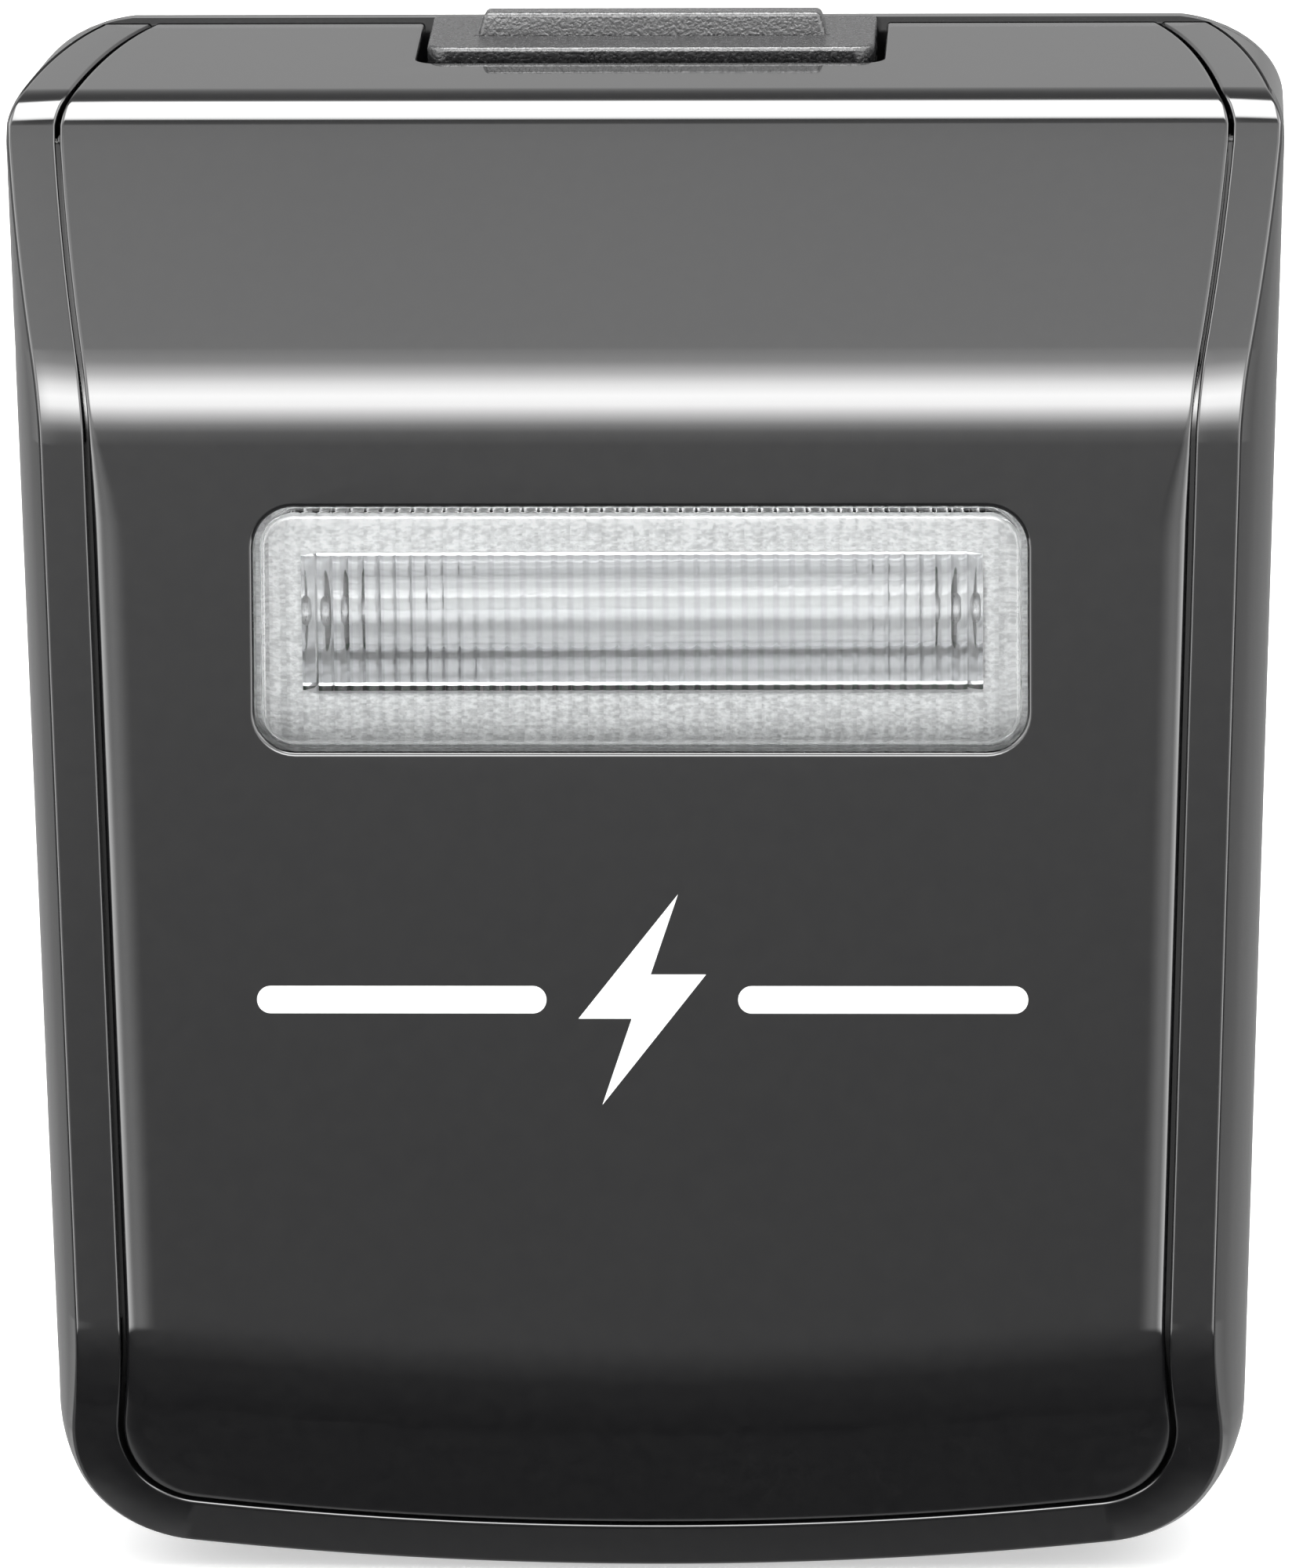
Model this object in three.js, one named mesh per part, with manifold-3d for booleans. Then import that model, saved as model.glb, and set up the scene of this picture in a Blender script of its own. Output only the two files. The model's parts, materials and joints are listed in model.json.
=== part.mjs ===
// A small clip-on speedlight flash: a flash tube behind a ribbed window in a glossy bowed case, held on
// the front of a larger flash by two fixed hooks at the foot and a sprung release button at the head.
// Millimetres. X is to the right seen from the window side, Y points back at the host, Z is up.
// The origin is the centre of the seating pad on the rear face. "Forward" is the distance from that
// plane towards the window, so y = -forward.
import * as THREE from "three";
import { mergeVertices } from "three/addons/utils/BufferGeometryUtils.js";
import Module from "manifold-3d";

const wasm = await Module();
wasm.setup();

// ---- Driving dimensions ---------------------------------------------------------------------------
// Front outline, seen along Y
const BOTTOM_Z = -35.85;
const HALF_WIDTH_BOTTOM = 28; // where the straight sides would meet the bottom
const SIDE_TAPER = 0.031; // each side leans out this much per millimetre of height
const BOW_RADIUS = 215; // the bottom edge is a shallow arc
const CORNER_RADIUS = 6.8;
const SHOULDER = { z: 32.4, across: 5.9, up: 4.15 }; // elliptical top corners
const ABOVE_Z = 42; // clear above everything

// Side profile, seen along X: forward and z of each corner, with its rounding
const TOP_REAR_Z = 36.55;
const TOP_DEPTH = 17;
const CREASE_Z = 34.2;
const DEPTH = 25;
const BEND_Z = 21;
const CHIN_Z = -25.2;
const CHIN_ANGLE = THREE.MathUtils.degToRad(29.5);
const CREASE_RADIUS = 3.2;
const BEND_RADIUS = 8.6;
const CHIN_RADIUS = 9;

// The sides draw in towards the front, from TOP_DEPTH on
const FLARE = 1.5;

// Shells
const WALL = 2.3;
const GAP = 0.3; // between neighbouring pieces
const COVER_WALL = 1.8;
const LEDGE = { reach: 2, wall: 1.4 };
const REAR_FACE = 0.4;
const REAR_INNER = 2.2;
const BODY_REAR = REAR_INNER + GAP;

// Window and flash unit
const WINDOW = { width: 36.2, height: 11.55, radius: 1.9, z: 9.9 };
const LENS_FACE = 24.6;
const LENS_REAR = 21.9;
const LENS_FLANGE = { width: 38, height: 13, wall: 0.9 };
const HOLDER = { width: 38.6, height: 14.6, front: 21.6, rear: 20.4 };
const OPENING = { width: 32.2, height: 6.5, radius: 0.8 };
const CHEEK = { inner: 17.7, outer: 19.5, rear: 13, half: 7.2 };
const EAR = { outer: 23.8, rear: 17, front: 18.4, half: 1.95 };
const HOLDER_SCREW = { x: 21.6, dz: 5.2, boss: 1.8 };
const REFLECTOR = {
  mouth: 20.1,
  depth: 8,
  half: 3.2,
  back_radius: 2.3,
  sheet: 0.5,
  half_length: 16.1,
  end_slope: 0.25,
};
const TUBE = { forward: 17, radius: 1.5, bore: 1, half_length: 18.5, sleeve_from: 17.2, sleeve_to: 20.2 };

// Rear face
const PAD = { width: 18, height: 12 };
const CONTACTS = {
  count: 6,
  pitch: 3,
  z: 18,
  tip: -0.5,
  plunger: 0.6,
  collar: 1,
  collar_length: 0.8,
  mouth: 0.9,
  bore: 1.3,
  step: 1.9,
};
const BLOCK = { width: 20, height: 6, rear: 0.9, flange: 1.5, front: 4.7 };
const LOWER_HOOK = { x: 12, width: 6, z: -31.6, thick: 1.8, reach: 2.9, drop: 1.8, tip: 1.2 };
const REAR_BOSS = { radius: 2.6, front: 13, pilot_front: 10, screw_tip: 9.5 };
const REAR_SCREWS = [
  { name: "top_left", x: -25.6, z: 27.5 },
  { name: "top_right", x: 25.6, z: 27.5 },
  { name: "bottom_left", x: -23.8, z: -27 },
  { name: "bottom_right", x: 23.8, z: -27 },
];

// Screws
const SCREW = { head: 1.9, head_height: 0.7, shank: 0.85, pilot: 1.15, slot: 0.5, slot_depth: 0.35 };

// Circuit board
const BOARD = { half_width: 20, bottom: -27, top: 22.5, rear: 5, front: 6.2 };
const BOARD_POST = { x: 17, z: -6, radius: 2.2 };
const ON_BOARD = BOARD.front + GAP;
const CAPACITOR = { radius: 6.3, half_length: 17, z: -17, lead_spacing: 5 };
const TRANSFORMER = { x: -7, z: -3, width: 9, height: 8, depth: 5.5, plate_width: 1.4 };
const FILM_CAPACITOR = { x: 5, z: -3, width: 7, height: 4.6, depth: 3.2 };
const TRANSISTOR = { x: -8, z: 15, width: 6.4, height: 5.6, depth: 2, leg: 2.4 };
const CHIP = { x: 7, z: 17.5, size: 5, depth: 1.2, legs: 6, leg_pitch: 0.8 };

// Release button and its guide
const NOTCH = { half_width: 11.1, front: 10, radius: 1 };
const BUTTON = {
  half_width: 10.65,
  rear: 2.6,
  front: 9.5,
  under: 33.6,
  proud_rear: 0.45,
  proud_front: 0.5,
};
const RIDGE = { foot: 8.46, crest: 8, rear: 4.3, front: 6.8, z: 37.15 };
const POST = {
  x: 7.5,
  forward: 6.5,
  radius: 1.5,
  foot: 24.6,
  groove: 1,
  groove_from: 25.5,
  groove_to: 26.4,
};
const CLIP = { inner: 1.3, outer: 2.5, from: 25.8, to: 26.1 };
const LATCH = { half_width: 9, front: 3.8, foot: 28.6 };
const HOOK = {
  x: 6,
  half: 2,
  z: 29,
  thick: 1.8,
  reach: 1.9,
  tooth: 1,
  tooth_top: 31.9,
  slot_half: 2.5,
  slot_foot: 26.9,
  slot_top: 32.4,
};
const GUIDE = { half_width: 17, rear: 4.2, front: 11.6, z: 26.6, thick: 1.4 };
const GUIDE_SCREW = { x: 14.5, forward: 7, boss: 2, boss_top: 34.4, pilot_top: 32.6, tip: 32.3 };
const SPRING = { radius: 2.1, wire: 0.28, turns: 4, from: 28.3, to: 33.3 };

// ---- Materials ------------------------------------------------------------------------------------
const material = (color, roughness, metalness = 0) =>
  new THREE.MeshStandardMaterial({ color, roughness, metalness });
const glossBlack = () => material(0x1c1c1e, 0.12);
const matteBlack = () => material(0x2a2a2c, 0.6);
const clear = () => material(0xe8ecee, 0.05);
const whitePlastic = () => material(0xd8d8d6, 0.5);
const aluminium = () => material(0xe4e5e6, 0.15, 1);
const steel = () => material(0x8d8f92, 0.35, 1);
const gold = () => material(0xd8a84a, 0.25, 1);
const silicone = () => material(0xc9c6bf, 0.7);
const fibreglass = () => material(0x1f5a3a, 0.5);
const ferrite = () => material(0x35353a, 0.7);

// ---- Solids ---------------------------------------------------------------------------------------
function solid(geometry) {
  const bare = geometry.clone();
  bare.deleteAttribute("normal");
  bare.deleteAttribute("uv");
  const merged = mergeVertices(bare, 1e-4);
  return new wasm.Manifold(
    new wasm.Mesh({
      numProp: 3,
      vertProperties: merged.attributes.position.array,
      triVerts: new Uint32Array(merged.index.array),
    }),
  );
}

function geometryOf(made) {
  const mesh = made.getMesh();
  const geometry = new THREE.BufferGeometry()
    .setAttribute("position", new THREE.BufferAttribute(mesh.vertProperties, 3))
    .setIndex(new THREE.BufferAttribute(mesh.triVerts, 1))
    .toNonIndexed();
  geometry.computeVertexNormals();
  return geometry;
}

const join = (first, ...rest) => rest.reduce((made, next) => made.add(next), first);
const cut = (first, ...tools) => tools.reduce((made, tool) => made.subtract(tool), first);
const common = (first, ...rest) => rest.reduce((made, next) => made.intersect(next), first);

// A shape drawn in x and z, as a plate from one forward distance to another.
function plate(shape, rear, front, curveSegments = 4) {
  const depth = front - rear;
  const geometry = new THREE.ExtrudeGeometry(shape, { depth, bevelEnabled: false, curveSegments });
  return solid(geometry.rotateX(Math.PI / 2).translate(0, -rear, 0));
}

// A shape drawn in forward and z, as a bar across X.
function barGeometry(shape, from, to, curveSegments) {
  const depth = to - from;
  const geometry = new THREE.ExtrudeGeometry(shape, { depth, bevelEnabled: false, curveSegments });
  const axes = new THREE.Matrix4().makeBasis(
    new THREE.Vector3(0, -1, 0),
    new THREE.Vector3(0, 0, 1),
    new THREE.Vector3(-1, 0, 0),
  );
  return geometry.applyMatrix4(axes).translate(to, 0, 0);
}

const bar = (shape, from, to, curveSegments = 5) => solid(barGeometry(shape, from, to, curveSegments));

function box(x0, x1, rear, front, z0, z1) {
  const geometry = new THREE.BoxGeometry(x1 - x0, front - rear, z1 - z0);
  return solid(geometry.translate((x0 + x1) / 2, -(rear + front) / 2, (z0 + z1) / 2));
}

// A rod along Y between two forward distances.
function rod(radius, x, z, rear, front, sides = 12) {
  const geometry = new THREE.CylinderGeometry(radius, radius, front - rear, sides);
  return solid(geometry.translate(x, -(rear + front) / 2, z));
}

// A rod along Z.
function pillar(radius, x, forward, z0, z1, sides = 12) {
  const geometry = new THREE.CylinderGeometry(radius, radius, z1 - z0, sides).rotateX(Math.PI / 2);
  return solid(geometry.translate(x, -forward, (z0 + z1) / 2));
}

// A body of revolution about X, from [x, radius] pairs.
function turnedAlongX(profile, sides = 12) {
  const points = profile.map(([x, radius]) => new THREE.Vector2(radius, x));
  return new THREE.LatheGeometry(points, sides).rotateZ(-Math.PI / 2);
}

function roundedRectangle(width, height, radius, z = 0) {
  const right = width / 2;
  const top = height / 2;
  const shape = new THREE.Shape();
  shape.absarc(right - radius, z + top - radius, radius, 0, Math.PI / 2);
  shape.absarc(-right + radius, z + top - radius, radius, Math.PI / 2, Math.PI);
  shape.absarc(-right + radius, z - top + radius, radius, Math.PI, 1.5 * Math.PI);
  shape.absarc(right - radius, z - top + radius, radius, 1.5 * Math.PI, 2 * Math.PI);
  return shape;
}

// ---- The body's outer form ------------------------------------------------------------------------
const sideX = (z) => HALF_WIDTH_BOTTOM + SIDE_TAPER * (z - BOTTOM_Z);
const topZ = (forward) => TOP_REAR_Z - ((TOP_REAR_Z - CREASE_Z) * forward) / TOP_DEPTH;

// The centre of a bottom corner's arc, which touches the leaning side and the bowed bottom.
function cornerCentre() {
  const stretch = Math.hypot(1, SIDE_TAPER);
  const x0 = HALF_WIDTH_BOTTOM - CORNER_RADIUS * stretch;
  const a = stretch ** 2;
  const b = 2 * (x0 * SIDE_TAPER - BOW_RADIUS);
  const c = x0 ** 2 + BOW_RADIUS ** 2 - (BOW_RADIUS - CORNER_RADIUS) ** 2;
  const height = (-b - Math.sqrt(b ** 2 - 4 * a * c)) / (2 * a);
  return new THREE.Vector2(x0 + SIDE_TAPER * height, BOTTOM_Z + height);
}

// The front outline, drawn in by inset all round except at the open top.
function outline(inset) {
  const corner = cornerCentre();
  const radius = Math.max(CORNER_RADIUS - inset, 0.4);
  const bowZ = BOTTOM_Z + BOW_RADIUS;
  const side = Math.atan(SIDE_TAPER);
  const bow = Math.atan2(corner.y - bowZ, corner.x);
  const shoulderX = sideX(SHOULDER.z) - inset - SHOULDER.across;
  const shape = new THREE.Shape();
  shape.absellipse(shoulderX, SHOULDER.z, SHOULDER.across, SHOULDER.up, 0, Math.PI / 2);
  shape.lineTo(shoulderX, ABOVE_Z);
  shape.lineTo(-shoulderX, ABOVE_Z);
  shape.absellipse(-shoulderX, SHOULDER.z, SHOULDER.across, SHOULDER.up, Math.PI / 2, Math.PI);
  shape.absarc(-corner.x, corner.y, radius, Math.PI + side, Math.PI - bow);
  shape.absarc(0, bowZ, BOW_RADIUS - inset, Math.PI - bow, 2 * Math.PI + bow);
  shape.absarc(corner.x, corner.y, radius, bow, -side);
  return shape;
}

// That outline as a column along Y, its sides drawing in towards the front.
function column(inset) {
  const planes = [-4, TOP_DEPTH, 19, 21, 23, DEPTH + 1.5];
  const depth = planes.length - 1;
  const geometry = new THREE.ExtrudeGeometry(outline(inset), {
    depth,
    steps: depth,
    bevelEnabled: false,
    curveSegments: 5,
  });
  const position = geometry.getAttribute("position");
  for (let i = 0; i < position.count; i++) {
    const forward = planes[Math.round(position.getZ(i))];
    const t = Math.max(0, (forward - TOP_DEPTH) / (DEPTH - TOP_DEPTH));
    const drawnIn = FLARE * (0.45 * t + 0.55 * t * t);
    position.setX(i, position.getX(i) * (1 - drawnIn / HALF_WIDTH_BOTTOM));
    position.setZ(i, forward);
  }
  return solid(geometry.rotateX(Math.PI / 2));
}

// The side profile's corners as lines meet, in forward and z, anticlockwise from the rear foot.
function profileCorners() {
  const footZ = BOTTOM_Z - 9;
  const footForward = DEPTH - (CHIN_Z - footZ) * Math.tan(CHIN_ANGLE);
  return [
    { p: new THREE.Vector2(-6, footZ), r: 0 },
    { p: new THREE.Vector2(footForward, footZ), r: 0 },
    { p: new THREE.Vector2(DEPTH, CHIN_Z), r: CHIN_RADIUS },
    { p: new THREE.Vector2(DEPTH, BEND_Z), r: BEND_RADIUS },
    { p: new THREE.Vector2(TOP_DEPTH, CREASE_Z), r: CREASE_RADIUS },
    { p: new THREE.Vector2(-6, topZ(-6)), r: 0 },
  ];
}

// The same corners with every edge moved in.
function offsetCorners(corners, inset) {
  const count = corners.length;
  const edges = corners.map(({ p }, i) => {
    const direction = corners[(i + 1) % count].p.clone().sub(p).normalize();
    const inward = new THREE.Vector2(-direction.y, direction.x);
    return { at: p.clone().addScaledVector(inward, inset), direction };
  });
  return corners.map(({ r }, i) => {
    const before = edges[(i + count - 1) % count];
    const after = edges[i];
    const across = after.at.clone().sub(before.at).cross(after.direction);
    const t = across / before.direction.cross(after.direction);
    return { p: before.at.clone().addScaledVector(before.direction, t), r: Math.max(r - inset, 0) };
  });
}

function roundedShape(corners) {
  const count = corners.length;
  const shape = new THREE.Shape();
  corners.forEach(({ p, r }, i) => {
    const back = corners[(i + count - 1) % count].p.clone().sub(p).normalize();
    const on = corners[(i + 1) % count].p.clone().sub(p).normalize();
    if (r === 0) {
      if (i === 0) shape.moveTo(p.x, p.y);
      else shape.lineTo(p.x, p.y);
      return;
    }
    const half = Math.acos(back.dot(on)) / 2;
    const centre = p.clone().addScaledVector(back.clone().add(on).normalize(), r / Math.sin(half));
    const start = p.clone().addScaledVector(back, r / Math.tan(half)).sub(centre).angle();
    const turn = Math.PI - 2 * half;
    shape.absarc(centre.x, centre.y, r, start, start + turn);
  });
  return shape;
}

// Everything under the outer skin, less inset.
const under = (inset) => bar(roundedShape(offsetCorners(profileCorners(), inset)), -40, 40);
const between = (rear, front) => box(-40, 40, rear, front, -50, 50);

// ---- Shells ---------------------------------------------------------------------------------------
// The button's opening in the top, rounded at its two front corners and open to the rear.
function notch() {
  const { half_width: wide, front, radius } = NOTCH;
  const shape = new THREE.Shape();
  shape.moveTo(-wide, 0);
  shape.lineTo(wide, 0);
  shape.absarc(wide - radius, front - radius, radius, 0, Math.PI / 2);
  shape.absarc(-wide + radius, front - radius, radius, Math.PI / 2, Math.PI);
  const geometry = new THREE.ExtrudeGeometry(shape, { depth: 12, bevelEnabled: false, curveSegments: 3 });
  return solid(geometry.rotateX(Math.PI).translate(0, 0, ABOVE_Z));
}

function frontCover() {
  const edge = WALL + GAP;
  const sheet = cut(common(column(edge), under(0), between(BODY_REAR, 40)), under(COVER_WALL));
  const { width, height, radius } = WINDOW;
  const window = plate(roundedRectangle(width, height, radius, WINDOW.z), 15, 30);
  const bosses = [];
  const pilots = [];
  for (const side of [-1, 1]) {
    for (const dz of [-HOLDER_SCREW.dz, HOLDER_SCREW.dz]) {
      const z = WINDOW.z + dz;
      bosses.push(rod(HOLDER_SCREW.boss, side * HOLDER_SCREW.x, z, EAR.front + GAP, DEPTH - 1));
      pilots.push(rod(SCREW.pilot, side * HOLDER_SCREW.x, z, EAR.front, DEPTH - 2.4));
    }
    const footZ = GUIDE.z + GUIDE.thick + GAP;
    const { x, forward, boss, boss_top, pilot_top } = GUIDE_SCREW;
    bosses.push(pillar(boss, side * x, forward, footZ, boss_top));
    pilots.push(pillar(SCREW.pilot, side * x, forward, GUIDE.z, pilot_top));
  }
  return cut(join(sheet, ...bosses), window, notch(), ...pilots);
}

function housing() {
  const wall = cut(column(0), column(WALL));
  const pocket = COVER_WALL + GAP;
  const ring = cut(column(WALL - 0.2), column(WALL + LEDGE.reach));
  const ledge = common(ring, cut(under(pocket), under(pocket + LEDGE.wall)));
  const { radius, front, pilot_front } = REAR_BOSS;
  const bosses = REAR_SCREWS.map(({ x, z }) => rod(radius, x, z, BODY_REAR, front));
  const pilots = REAR_SCREWS.map(({ x, z }) => rod(SCREW.pilot, x, z, BODY_REAR - 1, pilot_front));
  const made = common(join(wall, ledge), under(0), between(BODY_REAR, 40));
  return cut(join(made, ...bosses), ...pilots);
}

function lowerHook(side) {
  const { x, width, z, thick, reach, drop, tip } = LOWER_HOOK;
  const left = side * x - width / 2;
  return join(
    box(left, left + width, -reach, REAR_FACE + 0.5, z, z + thick),
    box(left, left + width, -reach, tip - reach, z - drop, z + 0.1),
  );
}

function rearCover() {
  const sheet = common(column(0), under(0), between(REAR_FACE, REAR_INNER));
  const pad = plate(roundedRectangle(PAD.width, PAD.height, 1), 0, REAR_FACE + 0.5);
  const posts = [];
  const holes = [];
  for (const side of [-1, 1]) {
    const x = side * BOARD_POST.x;
    posts.push(rod(BOARD_POST.radius, x, BOARD_POST.z, REAR_INNER - 0.5, BOARD.rear - GAP));
    holes.push(rod(SCREW.pilot, x, BOARD_POST.z, REAR_FACE + 0.8, BOARD.rear));
    const hook = side * HOOK.x;
    const [from, to] = [hook - HOOK.slot_half, hook + HOOK.slot_half];
    holes.push(box(from, to, -1, 4, HOOK.slot_foot, HOOK.slot_top));
  }
  for (const { x, z } of REAR_SCREWS) {
    holes.push(rod(SCREW.head + GAP, x, z, -1, REAR_FACE + 1));
    holes.push(rod(SCREW.pilot, x, z, -1, REAR_INNER + 1));
  }
  const blockX = BLOCK.width / 2 + GAP;
  const blockZ = BLOCK.height / 2 + GAP;
  holes.push(box(-blockX, blockX, -1, 4, CONTACTS.z - blockZ, CONTACTS.z + blockZ));
  return cut(join(sheet, pad, ...posts, lowerHook(-1), lowerHook(1)), ...holes);
}

// ---- Window, reflector and flash tube -------------------------------------------------------------
function windowLens() {
  const { width, height, radius, z } = WINDOW;
  const face = roundedRectangle(width - 2 * GAP, height - 2 * GAP, radius - GAP, z);
  const body = plate(face, LENS_REAR, LENS_FACE);
  const flange = roundedRectangle(LENS_FLANGE.width, LENS_FLANGE.height, 1.5, z);
  return join(body, plate(flange, LENS_REAR, LENS_REAR + LENS_FLANGE.wall));
}

function reflectorHolder() {
  const face = roundedRectangle(HOLDER.width, HOLDER.height, 1.5, WINDOW.z);
  const mouth = roundedRectangle(OPENING.width, OPENING.height, OPENING.radius, WINDOW.z);
  const pieces = [plate(face, HOLDER.rear, HOLDER.front)];
  const holes = [plate(mouth, 19, 23)];
  for (const side of [-1, 1]) {
    const spanX = (near, far) => (side > 0 ? [near, far] : [-far, -near]);
    const [inner, outer] = spanX(CHEEK.inner, CHEEK.outer);
    const low = WINDOW.z - CHEEK.half;
    pieces.push(box(inner, outer, CHEEK.rear, HOLDER.rear + 0.2, low, low + 2 * CHEEK.half));
    for (const dz of [-HOLDER_SCREW.dz, HOLDER_SCREW.dz]) {
      const z = WINDOW.z + dz;
      const [near, far] = spanX(CHEEK.outer - 0.2, EAR.outer);
      pieces.push(box(near, far, EAR.rear, EAR.front, z - EAR.half, z + EAR.half));
      holes.push(rod(SCREW.pilot, side * HOLDER_SCREW.x, z, 15, EAR.front + 1));
    }
    const seat = TUBE.radius + 2 * GAP + 0.9;
    const [from, to] = spanX(17, 20);
    holes.push(box(from, to, 12, TUBE.forward, WINDOW.z - seat, WINDOW.z + seat));
    const round = new THREE.CylinderGeometry(seat, seat, 3, 16).rotateZ(Math.PI / 2);
    holes.push(solid(round.translate((from + to) / 2, -TUBE.forward, WINDOW.z)));
  }
  return cut(join(...pieces), ...holes);
}

// The trough's section: nearly parallel jaws that close in a half round behind the tube. The inner shape
// runs on past the mouth, to cut it open.
function troughShape(grow) {
  const { mouth, depth, half, back_radius } = REFLECTOR;
  const lip = grow > 0 ? mouth : mouth + 1;
  const shape = new THREE.Shape();
  shape.moveTo(lip, -half - grow);
  shape.lineTo(lip, half + grow);
  shape.absarc(mouth - depth + back_radius, 0, back_radius + grow, Math.PI / 2, 1.5 * Math.PI);
  return shape;
}

function trough(grow, halfLength) {
  const made = barGeometry(troughShape(grow), -halfLength, halfLength, 8).translate(0, 0, WINDOW.z);
  const position = made.getAttribute("position");
  for (let i = 0; i < position.count; i++) {
    const behind = REFLECTOR.mouth + position.getY(i);
    position.setX(i, position.getX(i) - Math.sign(position.getX(i)) * REFLECTOR.end_slope * behind);
  }
  return solid(made);
}

function reflector() {
  const { sheet, half_length } = REFLECTOR;
  const hole = turnedAlongX([[-20, 0], [-20, TUBE.radius + GAP], [20, TUBE.radius + GAP], [20, 0]], 16);
  const tubeWay = solid(hole.translate(0, -TUBE.forward, WINDOW.z));
  return cut(trough(sheet, half_length + sheet), trough(0, half_length), tubeWay);
}

function glassTube() {
  const { radius, bore, half_length: end } = TUBE;
  return turnedAlongX([[-end, bore], [-end, radius], [end, radius], [end, bore], [-end, bore]], 16);
}

function electrode() {
  const pin = 0.35;
  const cap = 0.65;
  const profile = [[14.2, 0], [14.2, 0.5], [14.6, cap], [17.2, cap], [17.2, pin], [21.5, pin], [21.5, 0]];
  return turnedAlongX(profile, 10);
}

function tubeSleeve() {
  const inner = TUBE.radius + GAP;
  const outer = TUBE.radius + 2 * GAP + 0.6;
  const { sleeve_from: from, sleeve_to: to } = TUBE;
  return turnedAlongX([[from, inner], [from, outer], [to, outer], [to, inner], [from, inner]], 14);
}

// ---- Release button and its guide -----------------------------------------------------------------
function releaseButton() {
  const { half_width, rear, front, under: underside, proud_rear, proud_front } = BUTTON;
  const side = new THREE.Shape();
  side.moveTo(rear, underside);
  side.lineTo(front, underside);
  side.lineTo(front, topZ(front) + proud_front);
  side.lineTo(rear, topZ(rear) + proud_rear);
  const ridgeShape = new THREE.Shape();
  ridgeShape.moveTo(-RIDGE.foot, underside + 1);
  ridgeShape.lineTo(RIDGE.foot, underside + 1);
  ridgeShape.lineTo(RIDGE.foot, topZ(RIDGE.front));
  ridgeShape.lineTo(RIDGE.crest, RIDGE.z);
  ridgeShape.lineTo(-RIDGE.crest, RIDGE.z);
  ridgeShape.lineTo(-RIDGE.foot, topZ(RIDGE.front));
  const pieces = [plate(ridgeShape, RIDGE.rear, RIDGE.front)];
  pieces.push(box(-LATCH.half_width, LATCH.half_width, rear, LATCH.front, LATCH.foot, underside + 0.5));
  for (const sign of [-1, 1]) {
    const x = sign * POST.x;
    pieces.push(pillar(POST.radius, x, POST.forward, POST.groove_to, underside + 0.5));
    pieces.push(pillar(POST.groove, x, POST.forward, POST.groove_from - 0.1, POST.groove_to + 0.1));
    pieces.push(pillar(POST.radius, x, POST.forward, POST.foot, POST.groove_from));
    const { half, z, thick, reach, tooth, tooth_top } = HOOK;
    const left = sign * HOOK.x - half;
    pieces.push(box(left, left + 2 * half, -reach, rear + 0.5, z, z + thick));
    pieces.push(box(left, left + 2 * half, -reach, tooth - reach, z + thick - 0.5, tooth_top));
  }
  return join(bar(side, -half_width, half_width), ...pieces);
}

function buttonGuide() {
  const { half_width, rear, front, z, thick } = GUIDE;
  const holes = [];
  for (const sign of [-1, 1]) {
    holes.push(pillar(POST.radius + GAP, sign * POST.x, POST.forward, z - 1, z + thick + 1));
    holes.push(pillar(SCREW.pilot, sign * GUIDE_SCREW.x, GUIDE_SCREW.forward, z - 1, z + thick + 1));
  }
  return cut(box(-half_width, half_width, rear, front, z, z + thick), ...holes);
}

function retainingClip(side) {
  const ring = pillar(CLIP.outer, side * POST.x, POST.forward, CLIP.from, CLIP.to);
  return cut(ring, pillar(CLIP.inner, side * POST.x, POST.forward, CLIP.from - 1, CLIP.to + 1));
}

function spring(side) {
  const { radius, wire, turns, from, to } = SPRING;
  const rise = to - from - 2 * wire;
  const points = [];
  const perTurn = 10;
  for (let i = 0; i <= turns * perTurn; i++) {
    const angle = (2 * Math.PI * i) / perTurn;
    const z = from + wire + (rise * i) / (turns * perTurn);
    points.push(new THREE.Vector3(radius * Math.cos(angle), radius * Math.sin(angle), z));
  }
  return wireAlong(points, wire, turns * perTurn).translate(side * POST.x, -POST.forward, 0);
}

// A round wire with closed ends through the points.
function wireAlong(points, radius, steps, sides = 6) {
  const section = new THREE.Shape().absarc(0, 0, radius, 0, 2 * Math.PI);
  return new THREE.ExtrudeGeometry(section, {
    steps,
    extrudePath: new THREE.CatmullRomCurve3(points),
    curveSegments: sides,
    bevelEnabled: false,
  });
}

// ---- Contacts -------------------------------------------------------------------------------------
const contactX = (index) => (index - (CONTACTS.count - 1) / 2) * CONTACTS.pitch;

function contactBlock() {
  const { width, height, rear, flange, front } = BLOCK;
  const half = width / 2;
  const { z, bore, mouth, step } = CONTACTS;
  const body = box(-half, half, rear, front, z - height / 2, z + height / 2);
  const tall = height / 2 + flange;
  const foot = box(-half - flange, half + flange, BODY_REAR, front, z - tall, z + tall);
  const holes = [];
  for (let i = 0; i < CONTACTS.count; i++) {
    holes.push(rod(mouth, contactX(i), z, rear - 1, front));
    holes.push(rod(bore, contactX(i), z, step, front + 1));
  }
  return cut(join(body, foot), ...holes);
}

function contactPin(index) {
  const { z, tip, plunger, collar, step, collar_length } = CONTACTS;
  const seat = step + GAP;
  const profile = [[tip, 0], [tip, 0.35], [tip + 0.25, plunger], [seat, plunger], [seat, collar]];
  profile.push([seat + collar_length, collar], [seat + collar_length, 0]);
  const pin = turnedAlongX(profile, 10).rotateZ(-Math.PI / 2);
  return pin.translate(contactX(index), 0, z);
}

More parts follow.
